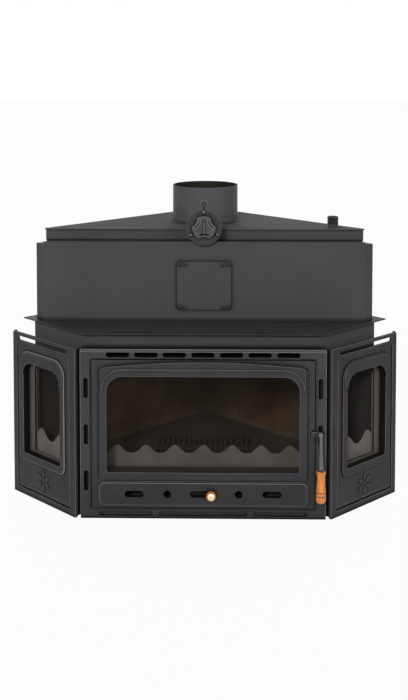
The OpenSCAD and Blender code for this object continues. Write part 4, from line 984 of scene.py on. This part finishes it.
tank_low, tank_high = corners("tank_walls")
lid_top = corners("tank_lid")[1].z
COLLAR_BEAD = 0.8 * MM
collar_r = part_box("flue_collar")[1][0] - COLLAR_BEAD
hood_low, hood_high = corners("hood_front")
NECK_IN = 6 * MM
NECK_SHORT = 26 * MM
RETURN_RUN = 24.5 * MM
neck_front = tank_low.y + NECK_IN
beads = [weld(ring_path(Vector((0, 0, lid_top)), collar_r + 0.6 * MM), 1.7, True),
         weld(line_path((tank_low.x + NECK_SHORT, neck_front, tank_low.z),
                        (tank_high.x - NECK_SHORT, neck_front, tank_low.z)), 1.6)]
dress(merge(beads), "tank_welds", "casing", "body_paint", sheet_paint)
bend, foot_z = hood_high.x - RETURN_RUN, hood_low.z
foot_beads = [weld(line_path((-bend, hood_low.y, foot_z), (bend, hood_low.y, foot_z)), 1.5)]
for side in (-1, 1):
    foot_beads.append(weld(line_path((side * bend, hood_low.y, foot_z),
                                     (side * hood_high.x, hood_high.y, foot_z)), 1.5))
dress(merge(foot_beads), "hood_welds", "casing", "body_paint", sheet_paint)

# %% [markdown]
# ## Door rope
# Three strands of glass fibre are laid round each other in the door's seat and pressed flat. Each strand
# follows a flattened helix round the seat's middle line.

# %% Door rope
rope_low, rope_high = corners("door_rope")
ROPE_W = 10 * MM
STRANDS, LAY = 3, 22 * MM
STRAND_R = 1.75 * MM
CORNER_R = 9 * MM
CORNER_STEPS = 4


def seat_path(step):
    """Points round the seat's middle line, with the length run so far and the inward direction."""
    left, right = rope_low.x + ROPE_W / 2, rope_high.x - ROPE_W / 2
    low, high = rope_low.z + ROPE_W / 2, rope_high.z - ROPE_W / 2
    line = []
    for x, z, turn in ((right, low, 0), (right, high, 90), (left, high, 180), (left, low, 270)):
        cx = x - CORNER_R if x > 0 else x + CORNER_R
        cz = z - CORNER_R if z > (low + high) / 2 else z + CORNER_R
        for i in range(CORNER_STEPS + 1):
            a = radians(turn - 90 + 90 / CORNER_STEPS * i)
            line.append(Vector((cx + CORNER_R * cos(a), cz + CORNER_R * sin(a))))
    points, run = [], 0.0
    for start, end in zip(line, line[1:] + line[:1]):
        length = (end - start).length
        count = max(1, round(length / step))
        inward = Vector((-(end - start).y, (end - start).x)).normalized()
        for i in range(count):
            points.append((start.lerp(end, i / count), run + length * i / count, inward))
        run += length
    return points, run


seat, seat_run = seat_path(3 * MM)
lays = round(seat_run / LAY)
rope_y = (rope_low.y + rope_high.y) / 2
rope_flat = (rope_high.y - rope_low.y) / 2 - STRAND_R
rope_wide = ROPE_W / 2 - STRAND_R
strands = []
for strand in range(STRANDS):
    path = []
    for spot, run, inward in seat:
        turn = 2 * pi * (lays * run / seat_run + strand / STRANDS)
        flat = spot + inward * rope_wide * cos(turn)
        path.append(Vector((flat.x, rope_y + rope_flat * sin(turn), flat.y)))
    strands.append(sweep(path, lambda i: STRAND_R, Vector(BACK), True))
dress(merge(strands), "rope_laid", "door", "rope", seal_cord, "door_rope")

# %% [markdown]
# ## Clip screws
# One domed screw with a slot holds each clip of the pane.

# %% Clip screws
clip_low, clip_high = corners("glass_clips")
CLIP_W, CLIP_H, CLIP_SCREW_R = 24 * MM, 20 * MM, 3.4
CLIP_SCREW_OUT = 4 * MM
clip_heads = []
for x in (clip_low.x + CLIP_W / 2, clip_high.x - CLIP_W / 2):
    for z, outside in ((clip_low.z + CLIP_H / 2, -1), (clip_high.z - CLIP_H / 2, 1)):
        spot = Vector((x, clip_high.y, z + outside * CLIP_SCREW_OUT))
        clip_heads.append(aim(slotted_screw(CLIP_SCREW_R, 1.8, 0.4 + x * 9), spot, BACK))
dress(merge(clip_heads), "clip_screws", "door", "screw_steel", screw_steel)

# %% [markdown]
# ## Plain nodes
# What lies inside or is round already keeps its node and only gets its finish.

# %% Finishes on nodes
PLAIN_NODES = [
    (boiler_plate, ("base_plate", "back_wall_left", "back_wall_right", "water_jacket_left",
                    "water_jacket_right", "riser_left", "riser_right", "ash_pan", "glass_clips")),
    (fire_iron, ("ash_floor", "hearth_plate", "grate", "baffle", "damper_plate")),
    # The duct and shutter seen through the slots take the near-black finish, partly smoke and partly
    # painted shade
    (smoke_and_shade_black, ("air_duct", "air_shutter")),
    (rod_steel, ("hinge_pins", "damper_rod")),
    (flue_paint, ("flue_collar",)),
    (pane, ("door_glass", "side_glass_left", "side_glass_right")),
    (seal_cord, ("glass_gasket", "cover_gasket")),
]
for material, nodes in PLAIN_NODES:
    for node in nodes:
        mesh = frame["nodes"][node].data
        mesh.materials.clear()
        mesh.materials.append(material)
        mesh.shade_smooth()
        mesh.set_sharp_from_angle(angle=SHARP)
print(sum(len(nodes) for _, nodes in PLAIN_NODES), "nodes finished in place")

# %% [markdown]
# ## Floor and light
# The floor is a wide white sheet that the camera sees almost as pure white, with only a trace of shadow.
# The main light stands in front, to the left and over the lens. A weaker one stands at the right and a
# faint one at the left. Two more come from behind and above, one from each side: they light the top plate
# and leave the shelf in the hood's shadow, as in the photograph. A dim white world fills in. Rays that
# show the studio itself, whether straight, mirrored or through a pane, see it white.

# %% Floor
FLOOR_SIZE = 60.0
GLOW = 0.95


def white_rays(tree):
    """A value of 1 for rays that show the white studio: straight ones, mirrored ones, and through glass."""
    rays = add(tree, "ShaderNodeLightPath")
    straight = calculate(tree, "MAXIMUM", (rays, "Is Camera Ray"), (rays, "Is Transmission Ray"))
    return calculate(tree, "MAXIMUM", (straight, 0), (rays, "Is Glossy Ray"))


def floor_material():
    material, tree, shader = new_material("floor")
    feed(tree, shader, {"Base Color": (0.8, 0.8, 0.8, 1.0), "Roughness": 0.9, "Specular IOR Level": 0.0})
    seen = calculate(tree, "MULTIPLY", (white_rays(tree), 0), GLOW)
    blend = feed(tree, add(tree, "ShaderNodeMixShader"),
                 {0: (seen, 0), 1: (shader, 0), 2: (add(tree, "ShaderNodeEmission"), 0)})
    wire(tree, blend, 0, tree.nodes["Material Output"], "Surface")
    return material


sheet = bmesh.new()
bmesh.ops.create_grid(sheet, x_segments=1, y_segments=1, size=FLOOR_SIZE / 2)
bmesh.ops.translate(sheet, verts=sheet.verts, vec=(0, 0, cad_low[2] - 0.2 * MM))
floor = show(sheet, "floor", floor_material())
floor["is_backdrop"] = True

# %% World and lamps
FILL = 0.24
world = bpy.data.worlds.new("white studio")
scene.world = world
world.use_nodes = True
sky = world.node_tree
level = spread(sky, (white_rays(sky), 0), 0.0, 1.0, FILL, 1.0)
feed(sky, sky.nodes["Background"], {"Strength": (level, 0), "Color": (1.0, 1.0, 1.0, 1.0)})


def broad_light(name, towards, strength, spread_angle):
    """A light from very far that shines towards a direction, as broad as the angle it fills."""
    light = bpy.data.lights.new(name, "SUN")
    light.energy = strength
    light.angle = radians(spread_angle)
    lamp = bpy.data.objects.new(name, light)
    lamp.rotation_euler = Vector(towards).to_track_quat("-Z", "Y").to_euler()
    scene.collection.objects.link(lamp)


broad_light("front light", (0.25, 1.0, -0.5), 2.2, 12)
broad_light("left light", (1.0, 1.0, -0.22), 0.1, 35)
broad_light("right light", (-1.0, 1.1, -0.2), 0.9, 35)
broad_light("back left light", (0.45, -1.0, -0.4), 0.4, 35)
broad_light("back right light", (-0.45, -1.0, -0.4), 0.4, 35)
scene.view_settings.view_transform = "Standard"

# %% [markdown]
# ## Sizes and the end
# Both boxes are worked out at the end: that of the construction and that of the dressed model. The
# dressed model has to stay inside the box of the construction.

# %% Finish
({"cad": [list(p) for p in (cad_low, cad_high)],
           "visual": [list(p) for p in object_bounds()]})
